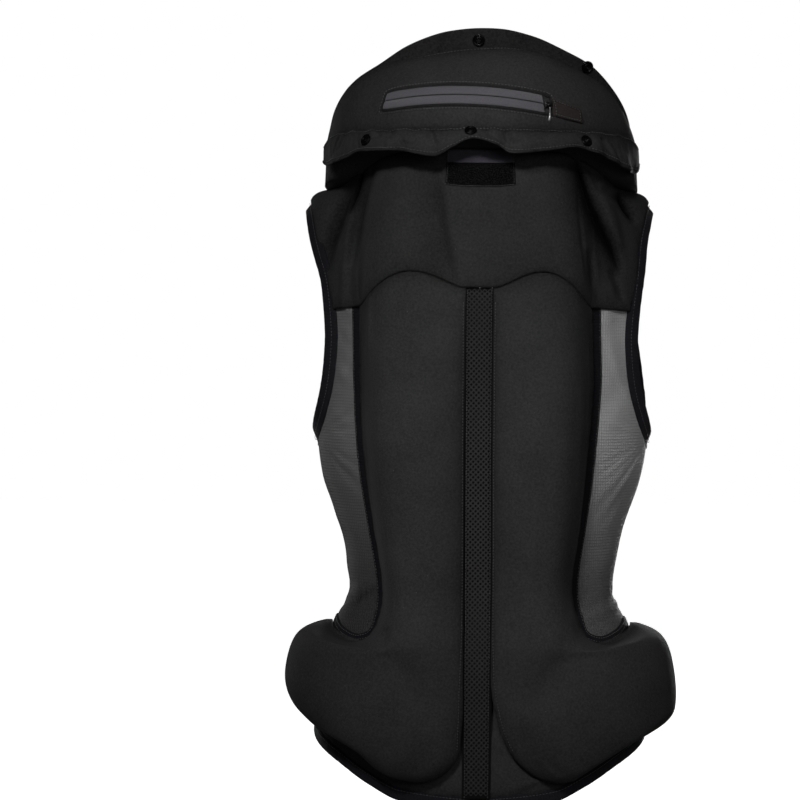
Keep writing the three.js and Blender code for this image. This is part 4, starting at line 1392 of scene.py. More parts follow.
@dataclass
class BackChambers:
    """Two air chambers beside the spine that run out into hip wings, and the spacer strip between them.

    Pairs named _z are distances below the origin between which a shift sets in or fades.
    """

    torso: Torso
    seat: float = 2.6
    wing_lift: float = 2.2
    depths: tuple = (
        # spine height, depth
        (-520, 38.5), (-420, 39.5), (-345, 40.5), (-225, 42), (-160, 39), (-110, 32.5), (-78, 27),
    )
    edge_depth: float = 5
    roll_from: float = 0.706
    rows: int = 170
    columns: int = 60
    drop: float = 560
    sewn_share: float = 0.72
    sewn_column: int = 5
    lift: float = 15
    top_lift: float = 6
    right_slant: float = 10
    slant_z: tuple = (425, 500)
    left_tail: float = 12
    tail_z: tuple = (470, 520)
    left_cut: float = 34
    cut_z: tuple = (414, 464)
    cut_fade_z: tuple = (478, 512)
    right_raised: float = 12
    raised_z: tuple = (450, 485)
    raised_fade_z: tuple = (500, 511)
    narrower: tuple = (
        # edge height, girth taken off on the left and on the right
        (-375, 0, 0), (-360, 0, 2.5), (-345, 0, 4), (-290, 0, 6), (-225, 0, 7.5), (-167, 2, 8.5),
        (-127, 4.5, 13), (-96, 6, 16),
    )
    strip_half: float = 11
    strip_depth: float = 1.8
    strip_under: float = 1.6
    strip_end: float = -534.4
    strip_length: float = 455
    lattice_lines: int = 9
    lattice_start: float = 2.6
    cell_across: float = 4.4
    cell_down: float = 4.7
    cell_sides: int = 12
    cell_ring: tuple = (
        # share of the cell, height
        (1.0, 0.0), (0.9, 0.75), (0.7, 0.75), (0.58, 0.0),
    )
    ribs: tuple = (
        # spine girth, spine height, edge girth, edge height, rise
        (11.8, -78, 115, -96, 23), (11.8, -115, 113, -127, 13), (11.8, -160, 109.5, -167, 4),
        (11.8, -225, 104, -225, 0), (11.8, -290, 95.5, -290, 0), (11.8, -345, 86.5, -345, 0),
        (11.8, -370, 87.5, -372, 0), (11.8, -388, 97, -392, 0), (11.8, -400, 114, -398.5, 0),
        (11.8, -411, 136, -394, 0), (11.8, -424, 166, -384.5, 0), (11.8, -436, 198, -386, 0),
        (11.8, -449, 221, -403, 0), (12, -462, 229, -429, 0), (14, -478, 221, -449, 0),
        (21, -495, 198, -465, 0), (33, -508, 170, -476, -2), (47, -517, 140, -488, -3),
        (62, -520.5, 114, -501, -2), (76, -518.5, 94, -511, 0),
    )

    def __post_init__(self) -> None:
        """Make the paths along the spine and the outer edge."""
        table = np.array(self.ribs, float)
        self.spine = Path(table[:, [0, 1, 4]])
        self.edge = Path(np.column_stack([table[:, 2:4], np.zeros(len(table))]))
        self.fullness, = curves(self.depths)
        self.left_off, self.right_off = curves(self.narrower)

    def taken_off(self, z: Array, side: Array) -> Array:
        """Girth by which the upper outer edge of a side lies nearer to the spine."""
        return np.where(np.asarray(side) > 0, self.right_off(z), self.left_off(z))

    def face(self, u: Array, v: Array, side: Array) -> tuple[Array, Array, Array, Array]:
        """Girth, height, depth and seat of the outer face at shares across and down.

        Args:
            u: shares from the spine to the outer edge.
            v: shares from the top to the end of the wing.
            side: 1 on the right, -1 on the left.

        Returns:
            The four values.
        """
        spine, edge = self.spine(v), self.edge(v)
        right, low, down = np.asarray(side) > 0, -spine[..., 1], -edge[..., 1]
        spine[..., 0] += np.where(right, self.right_slant * smoothstep(low, *self.slant_z),
                                  -self.left_tail * smoothstep(low, *self.tail_z))
        cut = smoothstep(down, *self.cut_z) * (1 - 0.6 * smoothstep(down, *self.cut_fade_z))
        raised = smoothstep(down, *self.raised_z) * (1 - 0.4 * smoothstep(down, *self.raised_fade_z))
        edge[..., 0] -= self.taken_off(edge[..., 1], side) + np.where(right, 0, self.left_cut * cut)
        edge[..., 1] += np.where(right, self.right_raised * raised, 0)
        power = np.where(u < 0.5, 0.8, lerp(1.3, 0.8, smoothstep(v, 0.31, 0.5)))
        crown = np.clip(1 - np.abs(2 * u - 1) ** 2.2, 0, 1) ** power
        roll = np.sqrt(1 - np.clip((v - self.roll_from) / (1 - self.roll_from), 0, 1) ** 2)
        base = self.edge_depth + self.strip_rise(spine[..., 1]) * (1 - smoothstep(u, 0, 1))
        g = lerp(spine[..., 0], edge[..., 0], u)
        z = lerp(spine[..., 1], edge[..., 1], u) + spine[..., 2] * arch(u**1.02) ** 1.4
        depth = base + (self.fullness(spine[..., 1]) - base) * crown * roll
        return g, z, depth, self.seat + self.wing_lift * smoothstep(v, 0.26, 0.365)

    def strip_rise(self, z: Array) -> Array:
        """How far the filled chambers lift the strip between them, less towards the hem."""
        return self.lift * smoothstep(z, -500, -395) + self.top_lift * smoothstep(z, -170, -85)

    def grid(self, side: int) -> tuple[Array, Array, Array]:
        """Outer and inner points of one chamber, and how near a seam each point is.

        Args:
            side: 1 on the right, -1 on the left.

        Returns:
            Two grids of points and one of nearness.
        """
        head = steps(int(self.rows * 0.66))[:-1] * self.roll_from
        tail = self.roll_from + (1 - self.roll_from) * np.sin(np.pi / 2 * steps(self.rows - len(head)))
        v, u = np.meshgrid(np.concatenate([head, tail]), eased(self.columns), indexing="ij")
        g, z, depth, seat = self.face(u, v, side)
        bare = self.torso.place(side * g, z, seat + depth)
        x, height = bare[..., 0], bare[..., 2]
        span = np.linalg.norm(np.diff(bare, axis=1), axis=2).sum(1)[:, None]
        from_edge, from_spine, from_top = (1 - u) * span, u * span, (v - v[0]) * self.drop
        from_sides = np.minimum(from_edge, from_spine)
        down = lengths(bare[:, -1])[:, None]
        pucker = (Ripple(11 + side, 13)(down) * bell(from_edge, 9) * 0.55
                  + Ripple(21 + side, 11)(down) * bell(from_spine, 7) * 0.35
                  + Ripple(31 + side, 15)(x) * bell(from_top, 9) * 0.35)
        ridge = 1.1 * bell(from_edge - 10, 3.2) * smoothstep(v, 0.02, 0.1) * (1 - smoothstep(v, 0.36, 0.42))
        slack = 0.9 * Ripple(41 + side, 95)(x + 0.6 * height) * Ripple(51 + side, 120)(height - 0.4 * x)
        offset = folded(BACK_FOLDS, x, height) + pucker + ridge + slack * smoothstep(from_sides, 0, 14)
        outer = self.torso.place(side * g, z, seat + depth + np.maximum(offset, 1.2 - depth))
        return outer, self.torso.place(side * g, z, seat), nearness(np.minimum(from_sides, from_top))

    def build(self, room: Workroom) -> None:
        """Make both chambers and the strip between them.

        Args:
            room: finishes and sewing trees.
        """
        for side, name in SIDES:
            outer, inner, near = self.grid(side)
            obj = slab(f"back_chamber_{name}", outer, inner, arc_map(outer), seam=near)
            settle(obj, Slot.SOFTSHELL, f"back_bladder_{name}", finish=room.finish["softshell"])
            sewn = slice(3, int(self.rows * self.sewn_share)), self.sewn_column
            up = grid_normals(outer, np.array([0.0, 0, -250]))[sewn]
            room.stitches(f"chamber_edge_stitches_{name}", [(outer[sewn] + 0.1 * up, up)], Slot.SOFTSHELL,
                          length=1.5, pitch=2.7, radius=0.3, seed=2, holes=True)
        self.build_strip(room)

    def strip_line(self, shift: float, start: float, end: float, out: float) -> Line:
        """Line down the strip between two lengths from its top.

        Args:
            shift: girth from the spine.
            start: first length.
            end: last length.
            out: distance above the strip.

        Returns:
            Points and outward directions.
        """
        fine = np.linspace(self.ribs[0][1], self.strip_end, 400)
        ground = self.seat + self.strip_depth + self.strip_rise(fine)
        line = self.torso.place(shift + 1e-3, fine, ground + out)
        length = lengths(line)
        at = np.interp(np.linspace(start, min(end, length[-1]), 300), length, np.arange(len(fine)))
        row = np.clip(at.astype(int), 0, len(fine) - 2)
        points = lerp(line[row], line[row + 1], (at - row)[:, None])
        up = unit(np.cross(np.gradient(points, axis=0), [1.0, 0, 0]))
        return points, np.where(up[:, 1:2] > 0, -up, up)

    def build_strip(self, room: Workroom) -> None:
        """Spacer strip: a dark ground with a lattice of raised diamond cells.

        Args:
            room: finishes and sewing trees.
        """
        z = np.linspace(self.ribs[0][1], self.strip_end, 120)[:, None]
        across = np.linspace(-1, 1, 9)[None, :]
        g, rise = across * (self.strip_half + self.strip_under), self.strip_rise(z)
        outer = self.torso.place(g, z, self.seat + self.strip_depth + rise + 1.2 * (1 - across**6) - 0.4)
        inner = self.torso.place(g, z, self.seat + 0.6 * rise)
        ground = slab("spine_strip_ground", outer, inner, arc_map(outer), rim=0.2)
        settle(ground, Slot.SPACER, "spine_mesh", finish=room.finish["spacer_ground"])
        cells = int(self.strip_length / self.cell_down)
        lines = []
        for k in range(self.lattice_lines):
            shift = (k - self.lattice_lines // 2) * self.cell_across / 2
            start = self.lattice_start + (k % 2) * self.cell_down / 2
            end = start + (cells - k % 2) * self.cell_down
            lines.append(self.strip_line(shift, start, end, 1.3))
        lattice = room.rows.run("spine_strip_lattice", lines, self.cell_piece(), self.cell_down,
                                room.finish["lattice"])
        settle(lattice, Slot.SPACER)
        edges = [self.strip_line(side * (self.strip_half - 0.7), 2, 460, 1.1) for side in (-1, 1)]
        room.stitches("spine_strip_stitches", edges, Slot.SPACER, length=1.6, pitch=2.6, radius=0.35)

    def cell_piece(self) -> Object:
        """One diamond cell of the lattice: a rounded rhombus ring.

        Returns:
            The cell, lying along X.
        """
        turn = (np.arange(self.cell_sides) * 2 * np.pi / self.cell_sides)[:, None]
        share, height = np.array(self.cell_ring).T
        radius = (np.abs(np.cos(turn)) + np.abs(np.sin(turn))) ** -0.75 * share
        down = radius * np.cos(turn) * self.cell_down / 2
        across = radius * np.sin(turn) * self.cell_across / 2
        points = stacked(down, across, height)
        return closed_object("lattice_cell", points.reshape(-1, 3), ring_quads(self.cell_sides, len(share)))


@dataclass
class SidePanels:
    """Sheer net at each side, the trim along its inner edge and its outer edge at the armhole and front."""

    torso: Torso
    chambers: BackChambers
    gap: float = 0.6
    trim_widths: tuple = (
        # share along the border, width
        (0, 11), (0.45, 9), (0.6, 6), (1, 6),
    )
    trim_depth: float = 2.2
    trim_sewn: float = 1.3
    under: float = 3
    net_under: float = 2.5
    net_faces: tuple = (0.9, 0.1)
    top_tuck: float = 6
    border_ribs: int = 12
    border_end: tuple = (236, -384)
    armpit: tuple = (150, -212)
    corner: int = 7
    outer_edge: tuple = (
        # girth, height
        (143, -100), (144, -138), (149, -166), (160, -190), (180, -211), (205, -222), (228, -215),
        (243.5, -197.5), (250, -240), (246, -300), (236, -350), (231, -377),
    )

    def __post_init__(self) -> None:
        """Make the paths of both edges."""
        rows = [(rib[2], rib[3], 0) for rib in self.chambers.ribs[:self.border_ribs]]
        self.border_path = Path([*rows, (*self.border_end, 0)])
        self.outer_path = BentPath(self.outer_edge, self.corner)
        self.trim_width, = curves(self.trim_widths)

    def chamber_edge(self, share: Array, side: int) -> Array:
        """Girths and heights of the chamber's edge."""
        at = self.border_path(share)[..., :2]
        return at - stacked(self.chambers.taken_off(at[..., 1], side), 0)

    def border(self, share: Array, offset: Array, side: int) -> Array:
        """Girths and heights beside the chamber's edge.

        Args:
            share: shares along the edge.
            offset: distances outside it.
            side: 1 on the right, -1 on the left.

        Returns:
            Two values for each share.
        """
        reach = 1e-4
        along = unit(self.chamber_edge(share + reach, side) - self.chamber_edge(share - reach, side))
        beside = stacked(-along[..., 1], along[..., 0])
        return self.chamber_edge(share, side) + beside * np.broadcast_to(offset, np.shape(share))[..., None]

    def build(self, room: Workroom) -> None:
        """Make the net and its trim on both sides.

        Args:
            room: finishes and sewing trees.
        """
        share, u = steps(240), eased(36)[None, :]
        for side, name in SIDES:
            trim = self.build_trim(room, share, side, name)
            start = self.border(share, 2 * self.gap + self.trim_width(share) - self.net_under, side)
            end = self.outer_path(share)
            g = side * lerp(start[:, :1], end[:, :1], u)
            tucked = self.top_tuck * (1 - smoothstep(share, 0, 0.04))
            z = lerp(start[:, 1:], end[:, 1:], u) + tucked[:, None]
            flat = self.torso.place(g, z, 0)
            x, height = flat[..., 0], flat[..., 2]
            slack = 0.9 * Ripple(61 + side, 34)(height - 0.8 * x * side) * arch(u)
            aside, up = side * x - self.armpit[0], height - self.armpit[1]
            drag = 1.1 * Ripple(71 + side, 20)(np.hypot(aside, up) * 0.15 + 90 * np.arctan2(up, aside))
            offset = (slack + drag * smoothstep(height, -330, -230) * 0.7) * arch(u) ** 0.7
            offset = np.maximum(offset + folded(NET_FOLDS, x, height), -1.0)
            outer, inner = (self.torso.place(g, z, out + offset) for out in self.net_faces)
            # Painted shade along the net's folds, kept in the seam attribute.
            painted_crease_shade = folded(NET_FOLDS, x, height, Effect.SHADE).clip(0)
            obj = slab(f"side_net_{name}", outer, inner, stacked(np.abs(g), z) * MM, rim=0.2, seam=painted_crease_shade)
            settle(obj, Slot.SIDE_MESH, f"side_mesh_{name}", finish=room.finish[f"net_{name}"])
            declare_sheet(obj, outer)

    def build_trim(self, room: Workroom, share: Array, side: int, name: str) -> Object:
        """Folded trim between the chamber and the net, sewn along both edges.

        Args:
            room: finishes and sewing trees.
            share: shares along the edge.
            side: 1 on the right, -1 on the left.
            name: name of the side.

        Returns:
            The trim.
        """
        u = steps(10)[None, :]
        width = self.trim_width(share)
        start, end = self.border(share, -self.under, side), self.border(share, self.gap + width, side)
        g, z = side * lerp(start[:, :1], end[:, :1], u), lerp(start[:, 1:], end[:, 1:], u)
        length = lengths(start)[:, None]
        crown = self.trim_depth + 0.5 * hump(u) + 0.12 * Ripple(81 + side, 9)(length + 4 * u)
        outer, inner = self.torso.place(g, z, crown), self.torso.place(g, z, 0.9)
        obj = slab(f"net_trim_{name}", outer, inner, stacked(u * width[:, None], length) * MM, rim=0.3)
        settle(obj, Slot.BINDING, f"mesh_border_{name}", finish=room.finish["trim"])
        lines = []
        for k in (self.trim_sewn + 0 * width, width - self.trim_sewn):
            at = self.border(share[2:-2], (self.gap + k)[2:-2], side)
            lines.append(self.torso.line(side * at[:, 0], at[:, 1], self.trim_depth + 0.25))
        room.stitches(f"net_trim_stitches_{name}", lines, Slot.BINDING,
                      length=2.0, pitch=2.8, radius=0.26, seed=3)
        return obj


@dataclass
class FrontPanels:
    """Two plain front panels that close with a zip down the middle."""

    torso: Torso
    cloth: float = 2
    zip_half: float = 5.4
    zip_depth: float = 3
    gap: float = 0.6
    top: float = -87
    bottom: float = -469.5
    tuck: float = 5
    mean_width: float = 130
    side_sink: float = 2.6
    hem_sink: float = 1.4
    corner: int = 3
    side_edge: tuple = (
        # girth, height
        (274, -87), (272, -130), (261, -172), (246, -196), (251, -240), (247, -300), (237, -350),
        (232, -377), (232, -396), (238, -440), (244, -472.5),
    )

    def __post_init__(self) -> None:
        """Make the path of the side edge."""
        self.side_path = BentPath(self.side_edge, self.corner)

    def build(self, room: Workroom, yoke: "Yoke") -> None:
        """Make both panels and the zip.

        Args:
            room: finishes and sewing trees.
            yoke: the yoke that the zip runs up over.
        """
        share, u = steps(110), eased(40)[None, :]
        z_zip = lerp(self.top, self.bottom, share)
        half = self.torso.half_girth(z_zip) - self.zip_half
        start = self.side_path(share)
        z = lerp(start[:, 1:], z_zip[:, None], u)
        near = nearness(np.minimum(u, 1 - u) * self.mean_width) + 0 * z
        for side, name in SIDES:
            g = side * (lerp(start[:, :1], (half - self.gap)[:, None], u) - self.tuck * (1 - u) ** 4)
            slack = 0.7 * Ripple(91 + side, 70)(z + 0.5 * np.abs(g)) * np.sin(np.pi * u)
            slack = slack - self.side_sink * (1 - smoothstep(u, 0.03, 0.12))
            slack = slack - self.hem_sink * smoothstep(share, 0.983, 0.995)[:, None]
            outer, inner = self.torso.place(g, z, self.cloth + slack), self.torso.place(g, z, slack)
            obj = slab(f"front_cloth_{name}", outer, inner, stacked(np.abs(g), z) * MM, rim=0.3, seam=near)
            settle(obj, Slot.SOFTSHELL, f"front_panel_{name}", finish=room.finish["softshell"])
            declare_sheet(obj, outer)
            line = self.torso.line(side * (half - 4.0), z_zip, self.cloth + 0.3)
            room.stitches(f"front_zip_stitches_{name}", [line], Slot.SOFTSHELL, seed=5)
        self.build_zip(room, yoke)

    def build_zip(self, room: Workroom, yoke: "Yoke") -> None:
        """Zip tape from the neck to the hem, with moulded teeth.

        Args:
            room: finishes and sewing trees.
            yoke: the yoke that it runs up over.
        """
        on_yoke = yoke.outer(yoke.front_rib(np.ones(1), 1), steps(12)[None, :-1])[0]
        on_front = lerp(self.top, self.bottom, steps(90))
        z = np.concatenate([on_yoke[:, 2], on_front])
        y = np.concatenate([on_yoke[:, 1] - self.zip_depth, self.torso.front(on_front)])
        x = np.linspace(-self.zip_half, self.zip_half, 11)[None, :]
        raised = 1.3 + 0.5 * (np.abs(x) > 1.5)
        outer, inner = (stacked(x, y[:, None] + out, z[:, None]) for out in (raised, -self.gap))
        obj = slab("front_zip_tape", outer, inner, arc_map(outer), rim=0.3)
        settle(obj, Slot.ZIP_TAPE, "front_zip", finish=room.finish["zip_tape"])
        line = stacked(0, y + 1.5, z), np.tile([0.0, 1, 0], (len(y), 1))
        tooth = closed_tube("zip_tooth", [[0, -1.9, 0.3], [0, -0.7, 0.8], [0, 0.7, 0.8], [0, 1.9, 0.3]],
                            [0.35, 0.55, 0.55, 0.35], 5)
        settle(room.rows.run("front_zip_teeth", [line], tooth, 1.45, room.finish["coil"]), Slot.ZIP_TAPE)


@dataclass
class LowerBack:
    """Cloth under the wings, and the elastic binding round the hem."""

    torso: Torso
    cloth: float = 2
    hem_height: float = 11
    gap: float = 0.6
    binding_depth: float = 4
    binding_sink: float = 1.5
    zip_half: float = 5.4
    tuck: float = 7
    hem_tuck: float = 2.5
    top_sink: float = 2.6
    hem_sink: float = 1.4
    side_top: float = 229.8
    side_bottom: float = 241
    hem: tuple = (
        # girth, height
        (0, -546), (69, -538), (99, -525), (136, -506), (180, -490), (205, -484), (260, -479), (330, -477),
    )
    top_edge: tuple = (
        # girth, height
        (0, -399), (97, -397), (114, -399.5), (137, -395), (166, -385.5), (198, -386), (231, -387),
    )

    def __post_init__(self) -> None:
        """Make the curves of both edges."""
        self.hem_z, = curves(self.hem)
        self.top_z, = curves(self.top_edge)

    def build(self, room: Workroom) -> None:
        """Make the cloth, the binding and their stitches.

        Args:
            room: finishes and sewing trees.
        """
        binding = self.build_binding(room)
        w, u = np.meshgrid(steps(60), np.linspace(-1, 1, 161), indexing="ij")
        g = u * lerp(self.side_top, self.side_bottom, w)
        top = self.top_z(np.abs(g)) + self.tuck
        hem = self.hem_z(np.abs(g)) + self.hem_height
        z = lerp(top, hem - self.hem_tuck, w)
        sink = (self.top_sink * (1 - smoothstep(top - z, 6, 14)) * (1 - smoothstep(np.abs(g), 182, 198))
                + self.hem_sink * (1 - smoothstep(z - hem, -0.5, 3)))
        flat = self.torso.place(g, z, 0)
        gather = 0.5 * Ripple(101, 9)(g) * smoothstep(w, 0.75, 1.0)
        gather = gather + folded(HEM_FOLDS, flat[..., 0], flat[..., 2])
        outer = self.torso.place(g, z, self.cloth + np.maximum(gather, -1.2) - sink)
        inner = self.torso.place(g, z, -sink)
        near = nearness(np.abs(z - hem))
        obj = slab("lower_back_cloth", outer, inner, stacked(g, z) * MM, rim=0.3, seam=near)
        settle(obj, Slot.SOFTSHELL, "lower_back", finish=room.finish["softshell"])
        declare_sheet(obj, outer)

    def build_binding(self, room: Workroom) -> Object:
        """Elastic binding round the hem, open at the front zip.

        Args:
            room: finishes and sewing trees.

        Returns:
            The binding.
        """
        reach = self.torso.half_girth(self.hem[-1][1])[0] - self.zip_half - self.gap
        g, w = np.linspace(-reach, reach, 420)[:, None], steps(12)[None, :]
        z = self.hem_z(np.abs(g)) + w * self.hem_height
        crown = self.binding_depth - self.binding_sink - 0.9 + 0.9 * hump(w)
        outer = self.torso.place(g, z, crown + 0.18 * Ripple(111, 8)(g + 2 * w))
        inner = self.torso.place(g, z, -self.binding_sink)
        obj = slab("hem_tape", outer, inner, stacked(w * self.hem_height, g) * MM, rim=0.5)
        settle(obj, Slot.BINDING, "hem_binding", finish=room.finish["binding"])
        along = np.linspace(-reach + 2, reach - 2, 420)
        line = self.torso.line(along, self.hem_z(np.abs(along)) + self.hem_height - 1.8, 2.3)
        room.stitches("hem_stitches", [line], Slot.BINDING, length=2.2, pitch=3.0, radius=0.26, seed=7)
        return obj


@dataclass
class Yoke:
    """Padded yoke over the shoulders, with the hook patch at the nape and the bound armholes."""

    torso: Torso
    chambers: BackChambers
    sides: SidePanels
    fronts: FrontPanels
    gap: float = 0.6
    swell: float = 7
    puff: float = 8
    neck_pad: float = 20
    front_pad: float = 8
    edge_pad: float = 6
    front_edge: float = 4
    seam_drop: float = 3.5
    lip: float = 1.2
    groove: float = 34
    fill_to: float = 0.62
    binding_width: float = 10.5
    binding_rise: float = 2.5
    binding_sink: float = 1.5
    seam_reach: float = 130
    least_pad: float = 3
    right_pull: float = 5.0
    left_pull: float = 3.0
    hook_half: float = 28.5
    hook_seat: float = 0.8
    hook_columns: int = 44
    hook_steps: int = 24
    hook_rows: tuple = (
        # piece, node, finish, start and end along the ribs, rise, rise of its stitches
        ("hook_tab_tape", "hook_tab", "hook_tab", 0.012, 0.112, 2.4, 2.5),
        ("hook_patch_ground", "hook_patch", "hook_ground", 0.118, 0.29, 1.5, 1.6),
    )
    centre: tuple = (0, 0, -90)
    heart: tuple = (132, 2, -110)
    back_rows: tuple = (
        # seam girth, neck x, y, z
        (0, 0, -127, 46), (35, 36, -124, 45.5), (65, 66, -111, 43), (90, 88, -93, 37), (115, 104, -74, 29),
        (143, 113, -58, 22),
    )
    side_rows: tuple = (
        # neck x, y, z, edge x, y, z
        (119, -42, 17, 144, -47, -50), (123, -24, 12, 152, -27, -11), (122, 4, 7, 154.5, 0, -0.5),
        (116, 30, 0, 142, 32, -22), (98, 56, -12, 129, 56, -56),
    )
    front_rows: tuple = (
        # neck x, y, z
        (76, 72, -24), (45, 82, -36), (6, 87, -44),
    )

    def __post_init__(self) -> None:
        """Make the paths of the neck and the edges."""
        back = np.array(self.back_rows, float)
        self.neck_back = Path(back[:, 1:])
        self.seam_share = TableCurve(back[:, 0], steps(len(back) - 1))
        self.neck_front = Path(self.front_rows)
        side = np.array(self.side_rows, float)
        first, last = self.back_rib(back[-1:, 0]), self.front_rib(np.zeros(1), 1)
        self.neck_side = Path(np.concatenate([first["neck"], side[:, :3], last["neck"]]))
        self.edge_side = Path(np.concatenate([first["edge"], side[:, 3:], last["edge"]]))

    def chamber_corner(self, side: Array) -> Array:
        """Girth of the chamber's upper outer corner."""
        rib = self.chambers.ribs[0]
        return rib[2] - self.chambers.taken_off(rib[3], side)

    def back_seam(self, g: Array, side: Array) -> tuple[Array, Array]:
        """Height and depth of the back seam at girths from the spine.

        Args:
            g: girths.
            side: 1 on the right, -1 on the left, for each.

        Returns:
            The heights and the depths.
        """
        rib = self.chambers.ribs[0]
        reach, corner = self.back_rows[-1][0], self.chamber_corner(side)
        u = np.clip((g - rib[0]) / (corner - rib[0]), 0, 1)
        _, z, depth, _ = self.chambers.face(u, np.zeros_like(u), side)
        past = g > corner
        beyond = rib[3] - (g - corner) / (reach - corner) * self.seam_drop
        thin = lerp(self.chambers.edge_depth, self.lip, smoothstep(g, corner, corner + 10))
        return np.where(past, beyond, z), np.where(past, thin, depth)

    def back_rib(self, g: Array) -> dict[str, Array]:
        """Ribs from the neck to the back seam at signed girths.

        Args:
            g: the girths.

        Returns:
            Neck, edge and inner points, padding and fill of each rib.
        """
        side = np.where(g < 0, -1, 1)
        z, depth = self.back_seam(np.abs(g), side)
        neck = self.neck_back(self.seam_share(np.abs(g)))
        neck[..., 0] *= np.sign(g)
        seat = self.chambers.seat
        edge = self.torso.place(g, z + self.gap, seat + depth)
        _, full = self.back_seam(np.maximum(np.abs(g), self.groove), side)
        return {"neck": neck, "edge": edge, "inner": self.torso.place(g, z + self.gap, seat + 0 * z),
                "pad": np.full(np.shape(g), self.neck_pad),
                "fill": self.torso.place(g, z + self.gap, seat + np.maximum(full, depth)) - edge}

    def front_rib(self, share: Array, side: int) -> dict[str, Array]:
        """Ribs from the neck to the front seam, from the armhole (0) to the zip (1).

        Args:
            share: shares along the seam.
            side: 1 on the right, -1 on the left.

        Returns:
            The same values as back_rib.
        """
        z = self.fronts.top + self.gap
        reach = self.torso.half_girth(z)[0] - self.fronts.zip_half - self.gap
        g = side * lerp(self.fronts.side_edge[0][0], reach, share)
        height = np.full(np.shape(g), z)
        return {"neck": self.neck_front(share) * [side, 1, 1],
                "edge": self.torso.place(g, height, self.front_edge),
                "inner": self.torso.place(g, height, 0), "pad": np.full(np.shape(g), self.front_pad),
                "fill": np.zeros((*np.shape(g), 3))}

    def side_rib(self, share: Array, side: int) -> dict[str, Array]:
        """Ribs from the neck to the armhole, from the back (0) to the front (1).

        Args:
            share: shares along the armhole.
            side: 1 on the right, -1 on the left.

        Returns:
            The same values as back_rib.
        """
        edge = self.edge_side(share) * [side, 1, 1]
        outward = unit(edge - self.centre)
        return {"neck": self.neck_side(share) * [side, 1, 1], "edge": edge,
                "inner": edge - self.edge_pad * outward,
                "pad": lerp(self.neck_pad, self.front_pad, share), "fill": np.zeros_like(edge)}

    def outer(self, rib: dict[str, Array], w: Array) -> Array:
        """Outer points on ribs at shares from the neck (0) to the edge (1).

        Args:
            rib: the ribs.
            w: shares along each rib.

        Returns:
            A grid of points.
        """
        neck, edge = rib["neck"][:, None], rib["edge"][:, None]
        outward = unit((neck + edge) / 2 - self.centre)
        t = w[..., None]
        fill = rib["fill"][:, None] * (t - smoothstep(t, self.fill_to, 1.0))
        return lerp(neck, edge, t) + outward * 4 * t * (1 - t) * self.swell + fill

    def inner(self, rib: dict[str, Array], w: Array) -> Array:
        """Inner points on the same ribs.

        Args:
            rib: the ribs.
            w: shares along each rib.

        Returns:
            A grid of points.
        """
        outer = self.outer(rib, w)
        at_edge = (rib["edge"] - rib["inner"])[:, None]
        t = w[..., None]
        outward = unit(lerp(unit(outer - self.centre), unit(at_edge), t))
        thick = np.linalg.norm(at_edge, axis=-1, keepdims=True)
        return outer - outward * (lerp(rib["pad"][:, None, None], thick, t) + 4 * t * (1 - t) * self.puff)

    def surface(self, rib: dict[str, Array], w: Array) -> Array:
        """Outer points with the folds of the cloth.

        Args:
            rib: the ribs.
            w: shares along each rib.

        Returns:
            A grid of points.
        """
        bare = self.outer(rib, w)
        normal = grid_normals(bare, np.array(self.centre, float))
        behind = smoothstep(-normal[..., 1], 0.05, 0.35)
        x, z = bare[..., 0], bare[..., 2]
        slack = 0.8 * Ripple(121, 60)(x + 0.4 * z) * Ripple(122, 75)(z - 0.3 * x) * np.sin(np.pi * w) ** 0.5
        inward = unit(0.3 * normal + np.array([0.0, -0.7, 0]))
        raised = inward * (folded(BACK_FOLDS, x, z) * behind)[..., None]
        aside = stacked(folded(BACK_FOLDS, x, z, Effect.LAP) * behind, 0, 0)
        return bare + raised + normal * slack[..., None] + aside

    def leaned(self, points: Array) -> Array:
        """Points of the shoulders drawn a little to the left, as the vest is worn.

        Args:
            points: points of the yoke.

        Returns:
            The drawn points.
        """
        x, z = points[..., 0], points[..., 2]
        most = np.where(x > 0, self.right_pull, self.left_pull)
        pull = most * smoothstep(np.abs(x), 80, 130) * smoothstep(z, -78, -30)
        return points - stacked(pull, 0, 0)

    def half_ribs(self, side: int) -> dict[str, Array]:
        """Ribs of one side, from the spine round to the front zip.

        Args:
            side: 1 on the right, -1 on the left.

        Returns:
            The same values as back_rib.
        """
        start = self.chambers.ribs[0][0]
        corner = float(self.chamber_corner(side))
        girths = np.concatenate([np.linspace(0, start, 5)[1:], lerp(start, corner, eased(64))[1:],
                                 np.linspace(corner, self.back_rows[-1][0], 20)[1:]])
        parts = [self.back_rib(side * girths), self.side_rib(steps(64)[1:-1], side),
                 self.front_rib(steps(24), side)]
        ribs = {key: np.concatenate([part[key] for part in parts]) for key in parts[0]}
        return ribs | {key: self.leaned(ribs[key]) for key in ("neck", "edge", "inner")}

    def build(self, room: Workroom) -> None:
        """Make the yoke, the hook patch with its tab, and the armhole bindings.

        Args:
            room: finishes and sewing trees.
        """
        left, right, middle = self.half_ribs(-1), self.half_ribs(1), self.back_rib(np.zeros(1))
        ribs = {key: np.concatenate([left[key][::-1], middle[key], right[key]]) for key in left}
        w = np.tile(steps(60), (len(ribs["pad"]), 1))
        bare, outer, inner = self.outer(ribs, w), self.surface(ribs, w), self.inner(ribs, w)
        outward, thick = unit(bare - inner), np.linalg.norm(bare - inner, axis=-1, keepdims=True)
        sunk = ((bare - outer) * outward).sum(-1, keepdims=True)
        inner = inner - outward * np.maximum(sunk + self.least_pad - thick, 0)
